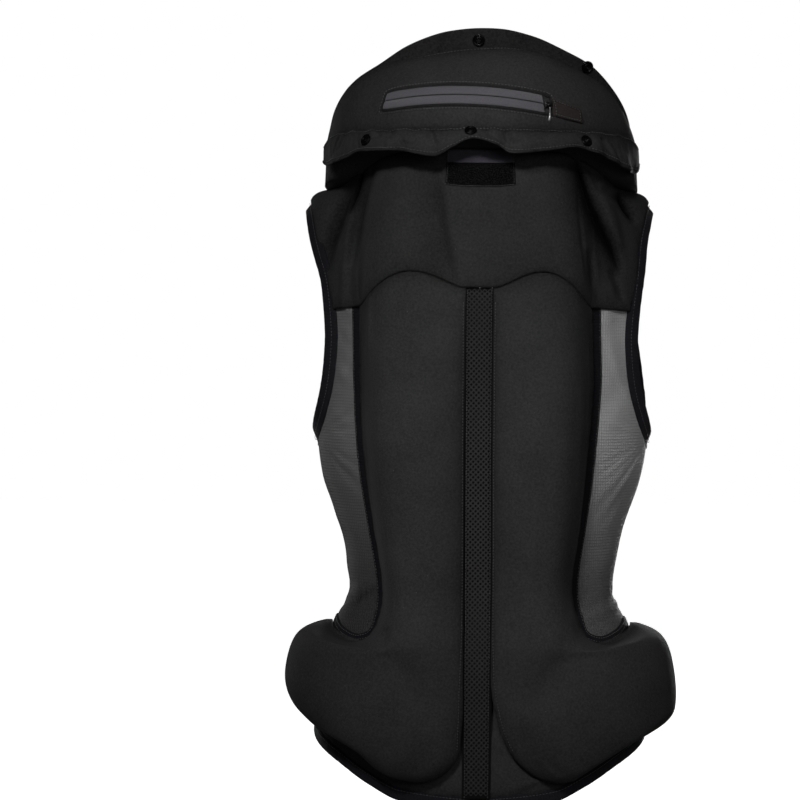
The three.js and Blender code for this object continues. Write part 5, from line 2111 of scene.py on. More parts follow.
        # Painted shade: the cores of the deep folds are darkened through the seam attribute, on top of the
        # darkening near the yoke's edges.
        shade = folded(BACK_FOLDS, bare[..., 0], bare[..., 2], Effect.SHADE).clip(0)
        near = nearness((1 - w) * self.seam_reach) + shade
        obj = slab("yoke_padded", outer, inner, arc_map(outer)[..., ::-1], seam=near)
        settle(obj, Slot.SOFTSHELL, "yoke", finish=room.finish["softshell"])
        self.build_hooks(room)
        for side, name in SIDES:
            self.build_armhole(room, side, name)

    def patch(self, start: float, end: float, half: float, out: float) -> Array:
        """Grid of points on the nape between two shares of the yoke's ribs.

        Args:
            start: first share.
            end: last share.
            half: half width.
            out: rise above the yoke.

        Returns:
            The grid.
        """
        rib = self.back_rib(np.linspace(-half, half, self.hook_columns) + 1e-6)
        w = lerp(start, end, steps(self.hook_steps))
        bare = self.outer(rib, np.tile(w, (self.hook_columns, 1)))
        offset = folded(BACK_FOLDS, bare[..., 0], bare[..., 2])
        return bare + stacked(0, -np.maximum(offset, -1) - out, 0)

    def build_hooks(self, room: Workroom) -> None:
        """Hook patch with its bristles, and the plain tab above it.

        Args:
            room: finishes and sewing trees.
        """
        rows = []
        for piece, node, finish, start, end, rise, sewn in self.hook_rows:
            outer, inner = (self.patch(start, end, self.hook_half, out) for out in (rise, self.hook_seat))
            obj = slab(piece, outer, inner, arc_map(outer), rim=0.3)
            settle(obj, Slot.HOOK, node, finish=room.finish[finish])
            rim = self.patch(start, end, self.hook_half - 0.8, sewn)
            rows += [rim[0], rim[-1]]
        *_, start, end, rise, sewn = self.hook_rows[-1]
        rows.append(self.patch(end - 0.006, end, self.hook_half, sewn)[:, -1])
        face = self.patch(start + 0.004, end - 0.004, self.hook_half - 1, rise - 0.05)
        i = np.arange(face[..., 0].size).reshape(face.shape[:2])
        quads = np.stack([i[:-1, :-1], i[:-1, 1:], i[1:, 1:], i[1:, :-1]], axis=-1).reshape(-1, 4)
        mesh = bpy.data.meshes.new("hook_face")
        mesh.from_pydata((face.reshape(-1, 3) * MM).tolist(), [], quads.tolist())
        if mesh.polygons[0].normal.y > 0:
            mesh.flip_normals()
        turn = np.linspace(0, 1.25 * np.pi, 6)
        crook = stacked(0.42 - 0.42 * np.cos(turn), 0, 0.85 + 0.42 * np.sin(turn))
        hook = closed_tube("hook_piece", np.concatenate([[[0, 0, -0.2]], crook]), np.full(7, 0.14), 4)
        bristles = room.scatter.run("hook_patch_bristles", mesh, hook, 1.02, room.finish["bristle"],
                                    tilt=0.45, seed=4)
        settle(bristles, Slot.HOOK)
        lines = [(row, np.tile([0.0, -1, 0.1], (len(row), 1))) for row in rows]
        room.stitches("hook_patch_stitches", lines, Slot.HOOK, length=1.9, pitch=2.4, radius=0.3, seed=9)

    def armhole_line(self) -> Line:
        """Middle line of the right armhole's edge and its outward directions.

        Returns:
            Points and outward directions.
        """
        rib = self.side_rib(steps(12)[1:-1], 1)
        front, net = steps(20), steps(22)[1:]
        front = self.fronts.side_path(front[front <= self.fronts.side_path.share])
        net = self.sides.outer_path(net[net < self.sides.outer_path.share - 0.01])[::-1]
        lines = [((rib["edge"] + rib["inner"]) / 2, unit(rib["edge"] - rib["inner"])),
                 *(self.torso.line(places[:, 0], places[:, 1], 1) for places in (front, net))]
        at, up = (np.concatenate(parts) for parts in zip(*lines))
        return at, up

    def build_armhole(self, room: Workroom, side: int, name: str) -> None:
        """Elastic binding round one armhole.

        Args:
            room: finishes and sewing trees.
            side: 1 on the right, -1 on the left.
            name: name of the side.
        """
        share, u = np.arange(300) / 300, steps(10)
        line, normal = (Path(points, closed=True)(share) for points in self.armhole_line())
        y = line[:, 1:2]
        normal = unit(unit(normal) + 1.3 * (1 - smoothstep(y, -10, 45)) * np.array([0.0, -1, 0]))
        across = unit(np.cross(unit(np.roll(line, -1, 0) - np.roll(line, 1, 0)), normal))
        inward = (across * (np.array(self.heart) - line)).sum(1, keepdims=True)
        across = np.where(inward < 0, -across, across)
        width = lerp(-2.5, self.binding_width - 0.5, u)[None, :, None]
        length = lengths(line, closed=True)
        wave = 0.2 * Ripple(131 + side, 9)(length[:-1, None] + 3 * u[None, :])
        rise = (self.binding_rise - 0.8 + 0.8 * hump(u))[None, :] + wave
        rise = rise * (1 - 0.7 * smoothstep(y, -48, -18) * (1 - smoothstep(y, 20, 50)))
        sink = (self.binding_sink - 0.3 * hump(u))[None, :, None]
        flip = np.array([side, 1, 1])
        spread = line[:, None] + across[:, None] * width
        outer = self.leaned((spread + normal[:, None] * rise[..., None]) * flip)
        inner = self.leaned((spread - normal[:, None] * sink) * flip)
        tape = stacked(u[None, :] * self.binding_width, length[:, None]) * MM
        obj = slab(f"armhole_tape_{name}", outer, inner, tape, ring=True, rim=0.5)
        settle(obj, Slot.BINDING, f"armhole_binding_{name}", finish=room.finish["binding"])
        sewn = self.leaned((line + across * 3.0 + normal * (self.binding_rise - 0.2)) * flip)
        sewn, ups = (np.concatenate([rows, rows[:1]]) for rows in (sewn, normal * flip))
        room.stitches(f"armhole_stitches_{name}", [(sewn, ups)], Slot.BINDING,
                      length=2.1, pitch=3.0, radius=0.26, seed=11)


NECK_SHIFT = -2.0


def polar(turn: Array, radius: Array, z: Array) -> Array:
    """Points at turns round the neck in degrees, radii and heights."""
    angle = np.radians(turn)
    return stacked(NECK_SHIFT + radius * np.sin(angle), -radius * np.cos(angle), z)


def spoke(turn: Array, rise: float = 0.0) -> Array:
    """Outward directions at turns round the neck."""
    return unit(polar(turn, 1.0, rise) - [NECK_SHIFT, 0, 0])


@dataclass
class Collar:
    """Collar chamber with its rim flange, loose flap, zip pocket and press studs."""

    end: float = 128
    rim: float = 5
    tuck: float = 20
    side_tuck: float = -1.0
    side_swell: float = 1.7
    foot_drop: float = 2
    inner_puff: float = 6
    flange_cloth: float = 2
    flange_inset: float = 3.4
    flange_sink: float = 1.6
    flap_cloth: float = 1.6
    flap_end: float = 82
    flap_depth: float = 20
    surface_gap: float = 0.8
    zip_from: float = -35.5
    zip_to: float = 23
    zip_middle: float = -8
    zip_top: float = 93.5
    zip_sag: float = 7.5
    zip_half: float = 7.7
    zip_slit: float = 0.35
    window_past: float = 2.6
    window_power: float = 12.5
    window_sewn: float = 4.0
    window_rows: tuple = (
        # distance outside the zip, rise
        (0.1, 0.9), (0.2, 1.35), (0.5, 1.6), (1.0, 1.6), (1.6, 1.35), (2.2, 0.8), (2.7, 0.1), (3.0, -0.9),
    )
    garage_turn: tuple = (26.2, 37.5)
    garage_edges: tuple = (
        # height at the zip, slope
        (91.5, -0.9), (75.5, -0.55),
    )
    slider_turn: float = 24.6
    stud_radius: float = 5.6
    stud_lean: float = 28
    stud_profile: tuple = (
        # share of the radius, height
        (0.34, -0.2), (0.98, -0.2), (1.0, 0.5), (0.96, 1.15), (0.86, 1.5), (0.74, 1.45), (0.68, 0.95),
        (0.52, 0.85), (0.47, 1.35), (0.4, 1.4), (0.34, 1.0),
    )
    rows: tuple = (
        # turn, rim radius, rim z, bulge radius, seam z, foot z, inner radius
        (0, 95, 139, 150, 64, 47, 93), (26, 99, 134, 150, 63, 46, 94),
        (49, 111, 114.5, 149, 61, 35.5, 96), (60, 119.5, 100, 147, 59, 26.5, 97),
        (68, 126, 80, 145, 56, 20.5, 98), (81, 134, 48, 140, 42, 12.6, 99),
        (92, 133, 27, 137, 20, 8.4, 98), (110, 122, 12, 126, 6, -2, 96),
        (128, 110, -3, 112, -8, -17, 94),
    )
    fuller_rows: tuple = (
        # turn, added rim radius, added rim height
        (-128, 0, 0), (-92, 3, 0), (-81, 8, 0), (-68, 16, 3), (-60, 17, 5), (-49, 15, 3), (-26, 4, -4.5),
        (0, 0, -4), (14, 1, -1), (26, 3, 0), (49, 8, 1), (60, 11, 4), (68, 10, 4),
        (81, 4, 1), (92, 1, 0), (128, 0, 0),
    )
    flange_rows: tuple = (
        # turn, width, lean
        (-82, 1, 5), (-60, 1.5, 3), (-50, 3, 2), (-42, 9, 3), (-30, 17, 8), (-15, 20, 9), (0, 20, 8),
        (14, 17.5, 9), (26, 15, 10), (42, 13, 11), (52, 12, 12), (60, 8, 14), (68, 6.5, 18), (82, 4, 30),
    )
    flap_rows: tuple = (
        # turn, edge z, flare
        (-82, 35, 0.8), (-70, 31, 1.2), (-58, 33, 6), (-48, 37, 9), (-42, 43, 8), (-27, 44, 9), (-14, 39, 8),
        (-8, 47, 10), (-1.5, 55, 12), (5.5, 50, 10), (11, 42, 8), (23, 45, 9), (31, 48, 11), (42, 42, 9),
        (52, 33, 8), (61, 27, 7), (71, 26, 1.2), (82, 34, 0.8),
    )
    flap_pleats: tuple = (
        # turn, slant, start and end along the flap, depth, half width in degrees
        (-56, -6, 0.1, 0.8, -1.6, 1.0), (-52, -6, 0.1, 0.7, -1.4, 0.9), (-36.5, 2, 0, 0.5, -3.5, 1.8),
        (-33, 0, 0, 0.35, -2.0, 1.2), (-30.5, -1, 0, 0.45, -3.2, 1.5), (-24, 0, 0.1, 0.7, 2.0, 3.0),
        (-16.5, 4, 0, 0.7, -3.4, 1.1), (-13, 1, 0, 0.45, -2.8, 0.9), (-10.5, 0, 0, 0.5, -3.2, 1.0),
        (-8.4, 1, 0, 0.4, -2.6, 0.8), (1.5, 5, 0.15, 0.8, -2.8, 1.2), (9, 2, 0, 0.7, -3.6, 1.2),
        (12.5, 0, 0, 0.6, 2.0, 2.0), (19, 6, 0, 0.3, -2.6, 2.0), (25, 6, 0, 0.3, -2.8, 2.2),
        (31, 4, 0, 0.3, -2.8, 2.0), (43, 8, 0.2, 0.9, -2.4, 1.2), (47.5, 8, 0.2, 0.9, -2.0, 1.2),
        (53, 6, 0.1, 0.8, 1.5, 2.0),
    )
    flange_studs: tuple = (("centre", -1, 0.5), ("right", 51, 0.75))
    flap_studs: tuple = (("left", -40, 0.5), ("centre", -2.4, 0.3), ("right", 37.5, 0.5))

    def __post_init__(self) -> None:
        """Make the curves of the sections."""
        table = np.array(self.rows, float)
        mirrored = np.column_stack([-table[:0:-1, :1], table[:0:-1, 1:]])
        names = ("rim_r", "rim_z", "bulge_r", "seam_z", "foot_z", "inner_r")
        self.at = dict(zip(names, curves(np.concatenate([mirrored, table]), 9)))
        self.fuller, self.raised = curves(self.fuller_rows, 6)
        self.flange_width, self.flange_lean = curves(self.flange_rows, 6)
        self.flap_edge, self.flap_flare = curves(self.flap_rows)

    def rim_radius(self, turn: Array) -> Array:
        """Radius of the rim, fuller at the sides."""
        return self.at["rim_r"](np.abs(turn)) + self.fuller(turn)

    def rim_height(self, turn: Array) -> Array:
        """Height of the rim."""
        return self.at["rim_z"](np.abs(turn)) + self.raised(turn)

    def bulge(self, turn: Array) -> Array:
        """Radius of the fullest part, at the flap's seam.

        Args:
            turn: turns round the neck, in degrees.

        Returns:
            The radii.
        """
        at = np.abs(turn)
        swell = self.side_swell * smoothstep(at, 60, 78) * (1 - smoothstep(at, 96, 118))
        swollen = self.at["bulge_r"](at) + swell
        return np.maximum(swollen, self.rim_radius(turn) + 2)

    def radius(self, turn: Array, z: Array) -> Array:
        """Radius of the outer face.

        Args:
            turn: turns round the neck, in degrees.
            z: heights.

        Returns:
            The radii.
        """
        at = np.abs(turn)
        rim, seam, bulge = self.rim_radius(turn), self.at["seam_z"](at), self.bulge(turn)
        tuck = lerp(self.tuck, self.side_tuck, smoothstep(at, 52, 74))
        below = bulge - tuck * np.clip((seam - z) / (seam - self.at["foot_z"](at)), 0, 1.5) ** 2
        rise = np.clip((z - seam) / (self.rim_height(turn) - seam), 0, 1.2)
        return np.where(z < seam, below, rim + (bulge - rim) * (1 - rise**2))

    def slack(self, turn: Array, z: Array) -> Array:
        """Small unevenness of the filled collar."""
        arc = np.asarray(turn, float) * 2.5
        return 0.7 * Ripple(141, 80)(arc + 0.5 * z) * Ripple(142, 60)(z - 0.3 * arc)

    def face(self, turn: Array, z: Array, out: Array) -> Array:
        """Points on the outer face, moved outward."""
        return polar(turn, self.radius(turn, z) + self.slack(turn, z) + out, z)

    def build(self, room: Workroom) -> None:
        """Make the collar and all that is on it.

        Args:
            room: finishes and sewing trees.
        """
        turn = np.linspace(-self.end, self.end, 241)[:, None]
        at = np.abs(turn)
        foot, seam, rim = self.at["foot_z"](at), self.at["seam_z"](at), self.rim_height(turn)
        foot = foot - self.foot_drop * (1 - smoothstep(at, 95, 110))
        below, above = lerp(foot, seam, steps(12)[None, :]), lerp(seam, rim, steps(46)[None, 1:])
        z = np.concatenate([below, above], axis=1)
        outer = self.face(turn, z, 0)
        rise = (z - foot) / (rim - foot)
        inner_r = self.at["inner_r"](at)
        lean = (self.rim_radius(turn) - self.rim - inner_r) * rise**2
        inner = polar(turn, inner_r + lean - self.inner_puff * np.sin(np.pi * rise), z)
        near = nearness(np.minimum(np.abs(z - seam), rim - z))
        obj = slab("collar_chamber", outer, inner, arc_map(outer)[..., ::-1], seam=near)
        settle(obj, Slot.SOFTSHELL, "collar_bladder", finish=room.finish["softshell"])
        self.build_flange(room)
        self.build_flap(room)
        self.build_zip(room)

    def flange(self, turn: Array, along: Array, out: Array) -> Array:
        """Points on the flange from its base (0) to its free edge (1), moved outward.

        Args:
            turn: turns round the neck, in degrees.
            along: shares across the flange.
            out: distances outward.

        Returns:
            Points in millimetres.
        """
        lean = np.radians(self.flange_lean(turn))
        out = out + 0.9 * Ripple(151, 40)(turn * 2.2) * along**1.5
        reach = along * self.flange_width(turn)
        base = self.rim_height(turn) - self.flange_sink + self.flange_cloth * np.sin(lean)
        radius = self.rim_radius(turn) - self.flange_inset + reach * np.sin(lean) + out * np.cos(lean)
        return polar(turn, radius, base + reach * np.cos(lean) - out * np.sin(lean))

    def flap(self, turn: Array, along: Array, out: Array) -> Array:
        """Points on the flap from the collar's seam (0) to its free edge (1), moved outward.

        Args:
            turn: turns round the neck, in degrees.
            along: shares down the flap.
            out: distances outward.

        Returns:
            Points in millimetres.
        """
        at, arc, belly = np.abs(turn), turn * 2.6, arch(along) ** 0.5
        loosely = smoothstep(self.flap_end - at, 6, 30)
        gather = (2.2 * Ripple(161, 26)(arc + 5 * along) * along**0.7
                  + 0.5 * Ripple(162, 11)(arc - 9 * along) * belly + 1.8 * belly) * loosely
        for middle, slant, start, end, depth, wide in self.flap_pleats:
            held = smoothstep(along, start - 0.02, start + 0.12) * (1 - smoothstep(along, end - 0.2, end))
            gather = gather + depth * held * bell(turn - middle - slant * along, wide)
        gather = gather + 0.7 * smoothstep(along, 0.84, 0.9)
        seam = self.at["seam_z"](at) + 1.3 * Ripple(163, 22)(arc) * loosely
        z = lerp(seam, self.flap_edge(turn), along)
        loose = self.bulge(turn) + self.flap_flare(turn) * along**1.5
        radius = lerp(loose, self.radius(turn, z), smoothstep(at, 58, 76)) + self.surface_gap
        return polar(turn, np.maximum(radius + gather, self.radius(turn, z) + 0.3) + out, z)

    def normal(self, surface: Callable, turn: Array, along: Array) -> Array:
        """Outward normals of a surface given by turn and share.

        Args:
            surface: the surface.
            turn: turns round the neck, in degrees.
            along: shares across it.

        Returns:
            Unit normals.
        """
        down = surface(turn, along + 0.04, 0) - surface(turn, along - 0.04, 0)
        across = surface(turn + 0.5, along, 0) - surface(turn - 0.5, along, 0)
        normal = unit(np.cross(down, across))
        facing = (normal * spoke(turn)).sum(-1, keepdims=True)
        return np.where(facing < 0, -normal, normal)

    def sew(self, room: Workroom, name: str, surface: Callable, cloth: float, turn: Array,
            shares: Sequence[float], seed: int) -> None:
        """Sew stitch lines round a sheet of the collar.

        Args:
            room: finishes and sewing trees.
            name: name of the piece.
            surface: the sheet.
            cloth: thickness of that sheet.
            turn: turns along each line.
            shares: place of each line across the sheet.
            seed: picks the small chance turns.
        """
        across = [np.full(len(turn), share) for share in shares]
        lines = [(surface(turn, at, cloth + 0.15), self.normal(surface, turn, at)) for at in across]
        room.stitches(name, lines, Slot.SOFTSHELL,
                      length=1.8, pitch=3.0, radius=0.36, seed=seed, holes=True)

    def build_flange(self, room: Workroom) -> None:
        """Rim flange with its base stitch line and its studs.

        Args:
            room: finishes and sewing trees.
        """
        turn = np.linspace(-self.flap_end, self.flap_end, 181)[:, None]
        outer, inner = (self.flange(turn, steps(10)[None, :], out) for out in (self.flange_cloth, 0.0))
        obj = slab("collar_rim_flange", outer, inner, arc_map(outer)[..., ::-1], rim=0.8)
        settle(obj, Slot.SOFTSHELL, "collar_flange", finish=room.finish["softshell"])
        studs = [self.build_stud(room, f"flange_{name}", self.flange, self.flange_cloth, at, share)
                 for name, at, share in self.flange_studs]
        declare_sheet(obj, outer)
        self.sew(room, "flange_stitches", self.flange, self.flange_cloth, np.linspace(-70, 70, 240),
                 [0.1], 13)

    def build_flap(self, room: Workroom) -> None:
        """Loose gathered flap with its seam, its hem and its studs.

        Args:
            room: finishes and sewing trees.
        """
        turn, along = np.linspace(-self.flap_end, self.flap_end, 421)[:, None], steps(28)[None, :]
        outer, inner = (self.flap(turn, along, out) for out in (self.flap_cloth, 0.0))
        near = nearness(np.minimum(along, 1 - along) * self.flap_depth, 4) + 0 * turn
        obj = slab("collar_loose_flap", outer, inner, arc_map(outer)[..., ::-1], rim=0.7, seam=near)
        settle(obj, Slot.SOFTSHELL, "collar_flap", finish=room.finish["softshell"])
        studs = [self.build_stud(room, f"flap_{name}", self.flap, self.flap_cloth, at, share)
                 for name, at, share in self.flap_studs]
        declare_sheet(obj, outer)
        self.sew(room, "flap_stitches", self.flap, self.flap_cloth, np.linspace(-76, 76, 260),
                 [0.045, 0.88], 15)

    def build_stud(self, room: Workroom, name: str, surface: Callable, cloth: float, turn: float,
                   along: float) -> Object:
        """Press stud socket with a rolled rim, a dished face, a hole and its spring.

        Args:
            room: finishes and sewing trees.
            name: which stud it is.
            surface: the sheet it is set in.
            cloth: thickness of that sheet.
            turn: its place round the neck.
            along: its place across the sheet.

        Returns:
            The stud.
        """
        r, share = self.stud_radius, np.linspace(-1, 1, 7)
        points, faces = lathe([(part * r, height) for part, height in self.stud_profile], 28)
        for x in (-0.16, 0.16):
            spring = stacked(x * r + 0.05 * r * np.sin(np.pi * share), share * 0.36 * r, 0.7)
            more, quads = tube(spring, np.full(7, 0.3), 6)
            faces = np.concatenate([faces, quads + len(points)])
            points = np.concatenate([points, more])
        at = np.array([turn]), np.array([along])
        up = self.normal(surface, *at)[0]
        side = unit(np.cross([0.0, 0, 1], up))
        over = np.cross(up, side)
        cos, sin = np.cos(np.radians(self.stud_lean)), np.sin(np.radians(self.stud_lean))
        axes = np.array([side * cos + over * sin, over * cos - side * sin, up])
        seat = surface(*at, cloth)[0] + up * 0.7
        obj = closed_object(f"stud_{name}", seat + points @ axes, faces)
        return settle(obj, Slot.SNAP, f"snap_{name}", finish=room.finish["snap"])

    def zip_line(self, turn: Array) -> Array:
        """Height of the zip's middle line."""
        share = (turn - self.zip_middle) / (self.zip_to - self.zip_middle)
        return self.zip_top - self.zip_sag * share**2

    def build_zip(self, room: Workroom) -> None:
        """Zip with its two tapes, coil, turned cloth edge, slider, pull and garage.

        Args:
            room: finishes and sewing trees.
        """
        turn = np.linspace(self.zip_from, self.zip_to, 121)[:, None]
        for name, low, high, *nodes in (("lower", -self.zip_half, -self.zip_slit, "collar_zip_tape"),
                                        ("upper", self.zip_slit, self.zip_half)):
            u = eased(12)[None, :]
            s = lerp(low, high, u)
            z = self.zip_line(turn) + s
            rises = (self.surface_gap + 0.25 + 0.75 * hump(u), self.surface_gap - 0.6)
            outer, inner = (self.face(turn, z, rise) for rise in rises)
            obj = slab(f"collar_zip_tape_{name}", outer, inner, stacked(s, turn * 2.4) * MM, rim=0.2)
            settle(obj, Slot.ZIP_TAPE, *nodes, finish=room.finish["zip_tape"])
        line = np.linspace(self.zip_from + 0.5, self.zip_to + 0.5, 160)
        middle = self.face(line, self.zip_line(line), self.surface_gap - 0.3)
        loop = closed_tube("coil_piece", [[0, -0.9, 0], [0, -0.4, 0.4], [0, 0.4, 0.4], [0, 0.9, 0]],
                           [0.25, 0.35, 0.35, 0.25], 5)
        coil = room.rows.run("collar_zip_coil", [(middle, spoke(line))], loop, 0.95, room.finish["coil"])
        settle(coil, Slot.ZIP_TAPE)
        self.build_window(room)
        self.build_garage(room)
        self.build_slider(room)

    def window(self, reach: Array, out: Array) -> Array:
        """Ring of points round the zip's opening, at distances outside its edge.

        Args:
            reach: the distances.
            out: distances outward.

        Returns:
            Rows of points round the opening.
        """
        right = self.zip_to + self.window_past
        middle, half_turn = (self.zip_from + right) / 2, (right - self.zip_from) / 2
        long_edge, short_edge = (lerp(1, -1, np.arange(count) / count) for count in (104, 16))
        cx = np.concatenate([long_edge, 0 * short_edge - 1, -long_edge, 0 * short_edge + 1])
        cz = np.concatenate([0 * long_edge + 1, short_edge, 0 * long_edge - 1, -short_edge])
        power = self.window_power
        size = (np.abs(cx) ** power + np.abs(cz) ** power) ** (1 / power)
        turn = middle + (cx / size)[:, None] * (half_turn + reach / 2.45)
        return self.face(turn, self.zip_line(turn) + (cz / size)[:, None] * (self.zip_half + reach), out)

    def build_window(self, room: Workroom) -> None:
        """Turned edge of the cloth round the zip, and the stitches that hold it.

        Args:
            room: finishes and sewing trees.
        """
        reach, rise = np.array(self.window_rows).T[:, None]
        outer, inner = self.window(reach, rise), self.window(reach, -1.2)
        cloth = stacked(reach, lengths(outer[:, 0], closed=True)[:, None]) * MM
        obj = slab("collar_zip_turned_edge", outer, inner, cloth, ring=True)
        settle(obj, Slot.SOFTSHELL, finish=room.finish["softshell"])
        ring, above = (self.window(np.array([self.window_sewn]), out)[:, 0] for out in (0.2, 1.2))
        ring, up = (np.concatenate([rows, rows[:1]]) for rows in (ring, unit(above - ring)))
        room.stitches("collar_zip_stitches", [(ring, up)], Slot.SOFTSHELL,
                      length=1.8, pitch=2.9, radius=0.36, seed=17, holes=True)

    def build_garage(self, room: Workroom) -> None:
        """Patch that covers the end of the zip, with a stitched box.

        Args:
            room: finishes and sewing trees.
        """
        turn, s = np.linspace(*self.garage_turn, 25)[:, None], steps(20)[None, :]
        past = turn - turn[0]
        top, foot = (z + slope * past for z, slope in self.garage_edges)
        z = lerp(top, foot, s)
        rise = 1.6 + 0.5 * arch(s) + 0.4 * arch(past / past[-1])
        outer, inner = self.face(turn, z, rise + 0.6), self.face(turn, z, -0.3)
        obj = slab("collar_zip_garage_patch", outer, inner, arc_map(outer), rim=0.4)
        settle(obj, Slot.SOFTSHELL, "collar_zip_garage", finish=room.finish["garage"])
        inset = self.face(turn, z, rise + 0.75)[2:-2, 2:-2]
        loop = np.concatenate([inset[:, 0], inset[-1], inset[::-1, -1], inset[0, ::-1]])
        up = np.tile(spoke(np.array([31.0]), 0.35), (len(loop), 1))
        room.stitches("collar_zip_garage_stitches", [(loop, up)], Slot.SOFTSHELL,
                      length=1.6, pitch=2.6, radius=0.34, seed=19, holes=True)

    def build_slider(self, room: Workroom) -> None:
        """Slider body with its bridge, and the pull: a ring and a bright drop.

        Args:
            room: finishes and sewing trees.
        """
        turn = np.array(self.slider_turn)
        seat, out = self.face(turn, self.zip_line(turn), 2.4), spoke(turn)
        axes = np.array([unit(np.cross([0.0, 0, 1], out)), [0.0, 0, 1], out])
        t, k = np.linspace(-1, 1, 9)[:, None], np.linspace(-1, 1, 9)[None, :]
        width = 2.2 + 0.9 * t**2 + 0.3 * t
        grid = stacked(t * 3.4, k * width, 1.4 + 0.5 * (1 - k * k) * (1 - t**4))
        outer, inner = (seat + points @ axes for points in (grid, grid * [1, 1, 0]))
        body = slab("collar_zip_slider_body", outer, inner, arc_map(outer), rim=0.5)
        settle(body, Slot.ZIP_METAL, "collar_zip_slider", finish=room.finish["slider"])
        bow, drop = np.linspace(0, np.pi, 11), np.linspace(0, 1, 15)
        bridge = stacked(-2.4 * np.cos(bow), 0, 1.4 + 2.0 * np.sin(bow) ** 0.7)
        hanging = stacked(0.3 * np.sin(3 * drop), -2.0 - 13.2 * drop, 3.4 - 1.0 * drop)
        radii = np.interp(drop, [0, 0.1, 0.35, 0.5, 0.8, 0.93, 1], [0.5, 0.75, 0.6, 0.8, 1.25, 1.2, 0.3])
        turn = np.arange(21) * 2 * np.pi / 20
        ring = stacked(1.5 * np.cos(turn), -1.0 + 1.9 * np.sin(turn), 3.5 + 0.2 * np.cos(turn))
        for name, line, radius, sides, finish, *nodes in (
                ("slider_bridge", bridge, np.full(11, 0.7), 8, "slider"),
                ("pull_drop", hanging, radii, 10, "silver", "collar_zip_pull"),
                ("pull_ring", ring, np.full(21, 0.45), 7, "slider")):
            obj = closed_tube(f"collar_zip_{name}", seat + line @ axes, radius, sides)
            settle(obj, Slot.ZIP_METAL, *nodes, finish=room.finish[finish])


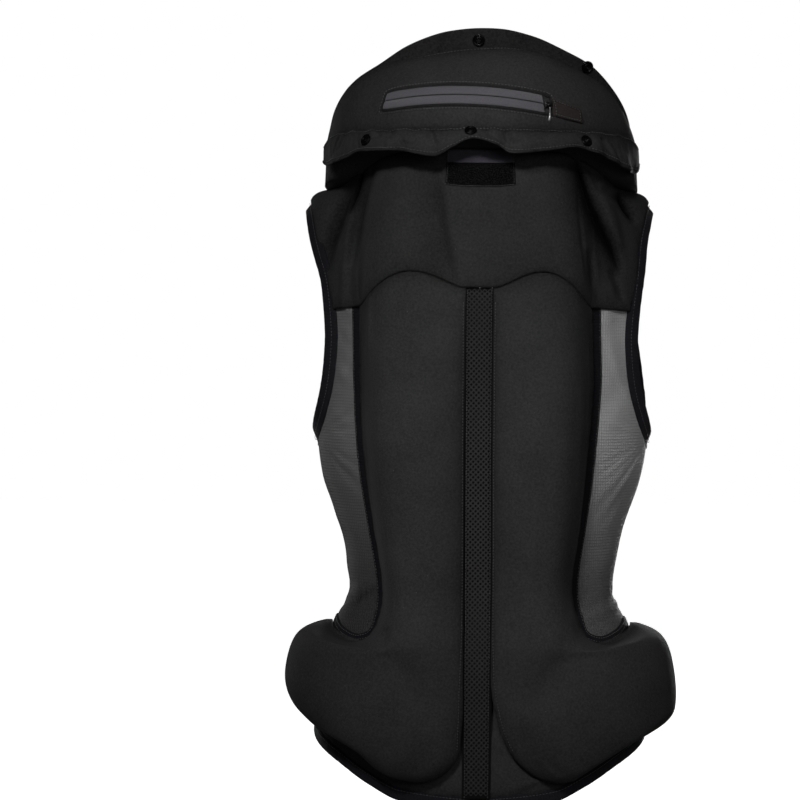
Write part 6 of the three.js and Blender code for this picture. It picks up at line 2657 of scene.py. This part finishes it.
@dataclass
class Studio:
    """Pale floor, soft light and a camera behind the vest."""

    floor_z: float = -0.6
    floor_half: float = 6.0
    world_light: float = 0.05
    sensor: float = 36
    lens: float = 250
    distance: float = 5.0
    azimuth: float = 2.3
    elevation: float = 2.0
    roll: float = 0.45
    aim: tuple = (-0.0725, -0.07, -0.180)
    lights: tuple = (
        # name, place, aim, radius, cone in degrees, power
        ("key", (-0.35, -1.5, 0.65), (0.0, -0.15, -0.235), 0.22, 18.6, 112),
        ("fill", (0.6, -2.2, 0.25), (0.03, -0.1, -0.38), 0.4, 36, 27),
        ("collar", (-0.1, -1.8, 0.9), (0, -0.12, 0.127), 0.16, 11, 120),
        ("right", (1.7, 0.15, -0.15), (0.13, 0, -0.27), 0.1, 12, 12),
        ("front", (0.5, 2.5, -0.25), (0, 0, -0.2), 0.6, 50, 300),
        ("front_left", (-1.4, 2.0, -0.2), (0, 0, -0.2), 0.5, 40, 40),
    )

    def build(self) -> None:
        """Make the floor, the lights, the world and the camera."""
        self.build_floor()
        for name, place, aim, radius, cone, power in self.lights:
            lamp = bpy.data.lights.new(name, "SPOT")
            lamp.shadow_soft_size, lamp.energy = radius, power
            lamp.spot_size, lamp.spot_blend = math.radians(cone), 1.0
            self.turn(link_object(name, lamp), Vector(place), Vector(aim) - Vector(place))
        world = bpy.data.worlds.new("studio")
        bpy.context.scene.world = world
        world.use_nodes = True
        kit = NodeKit(world.node_tree)
        back = world.node_tree.nodes["Background"]
        seen = kit.add("ShaderNodeLightPath").outputs["Is Camera Ray"]
        kit.put(back, 0, (1, 1, 1, 1))
        kit.put(back, 1, kit.ramp(seen, 0.0, 1.0, self.world_light, 1.0))
        self.build_camera()
        bpy.context.scene.view_settings.view_transform = "Standard"
        bpy.context.scene.view_settings.look = "None"

    @staticmethod
    def turn(obj: Object, place: Vector, ahead: Vector, roll: float = 0.0) -> None:
        """Set a lamp or camera in its place, looking ahead and rolled by an angle in degrees.

        Args:
            obj: the lamp or camera.
            place: where it stands.
            ahead: the way it looks.
            roll: its turn about that way.
        """
        obj.location = place
        obj.rotation_mode = "QUATERNION"
        obj.rotation_quaternion = ahead.to_track_quat("-Z", "Y") @ Quaternion((0, 0, 1), math.radians(roll))

    def build_floor(self) -> None:
        """Plain pale floor."""
        corners = np.array([[-1, -1, 0], [1, -1, 0], [1, 1, 0], [-1, 1, 0]]) * self.floor_half
        obj = new_object("floor", (corners + [0, 0, self.floor_z]) / MM, np.array([[0, 1, 2, 3]]))
        s = start_material("floor_paint")
        noise = s.kit.first("ShaderNodeTexNoise", {"Vector": s.place, "Scale": 2.0, "Detail": 2.0})
        seen = s.kit.add("ShaderNodeLightPath").outputs["Is Camera Ray"]
        pale = s.kit.mix(noise, grey(0.9), grey(0.94))
        s.feed(Roughness=0.9, Specular_IOR_Level=0.1, Emission_Strength=1.0,
               Base_Color=s.kit.mix(seen, grey(0.3), pale),
               Emission_Color=s.kit.mix(seen, grey(0.02), grey(1.0)))
        dress(obj, bpy.data.materials["floor_paint"])

    def build_camera(self) -> None:
        """Camera behind the vest, a little to the right and above."""
        a, e = math.radians(self.azimuth), math.radians(self.elevation)
        back = Vector((math.sin(a) * math.cos(e), -math.cos(a) * math.cos(e), math.sin(e)))
        data = bpy.data.cameras.new("camera")
        data.lens, data.sensor_width = self.lens, self.sensor
        camera = link_object("camera", data)
        self.turn(camera, Vector(self.aim) + back * self.distance, -back, self.roll)
        bpy.context.scene.camera = camera


def main() -> None:
    """Build the vest and the studio, and note the sizes."""
    logging.basicConfig(level=logging.INFO, format="%(name)s: %(message)s")
    Studio().build()
    room = Workroom()
    torso = Torso()
    chambers = BackChambers(torso)
    sides = SidePanels(torso, chambers)
    fronts = FrontPanels(torso)
    yoke = Yoke(torso, chambers, sides, fronts)
    chambers.build(room)
    fronts.build(room, yoke)
    sides.build(room)
    LowerBack(torso).build(room)
    yoke.build(room)
    Collar().build(room)


if __name__ == "__main__":
    main()
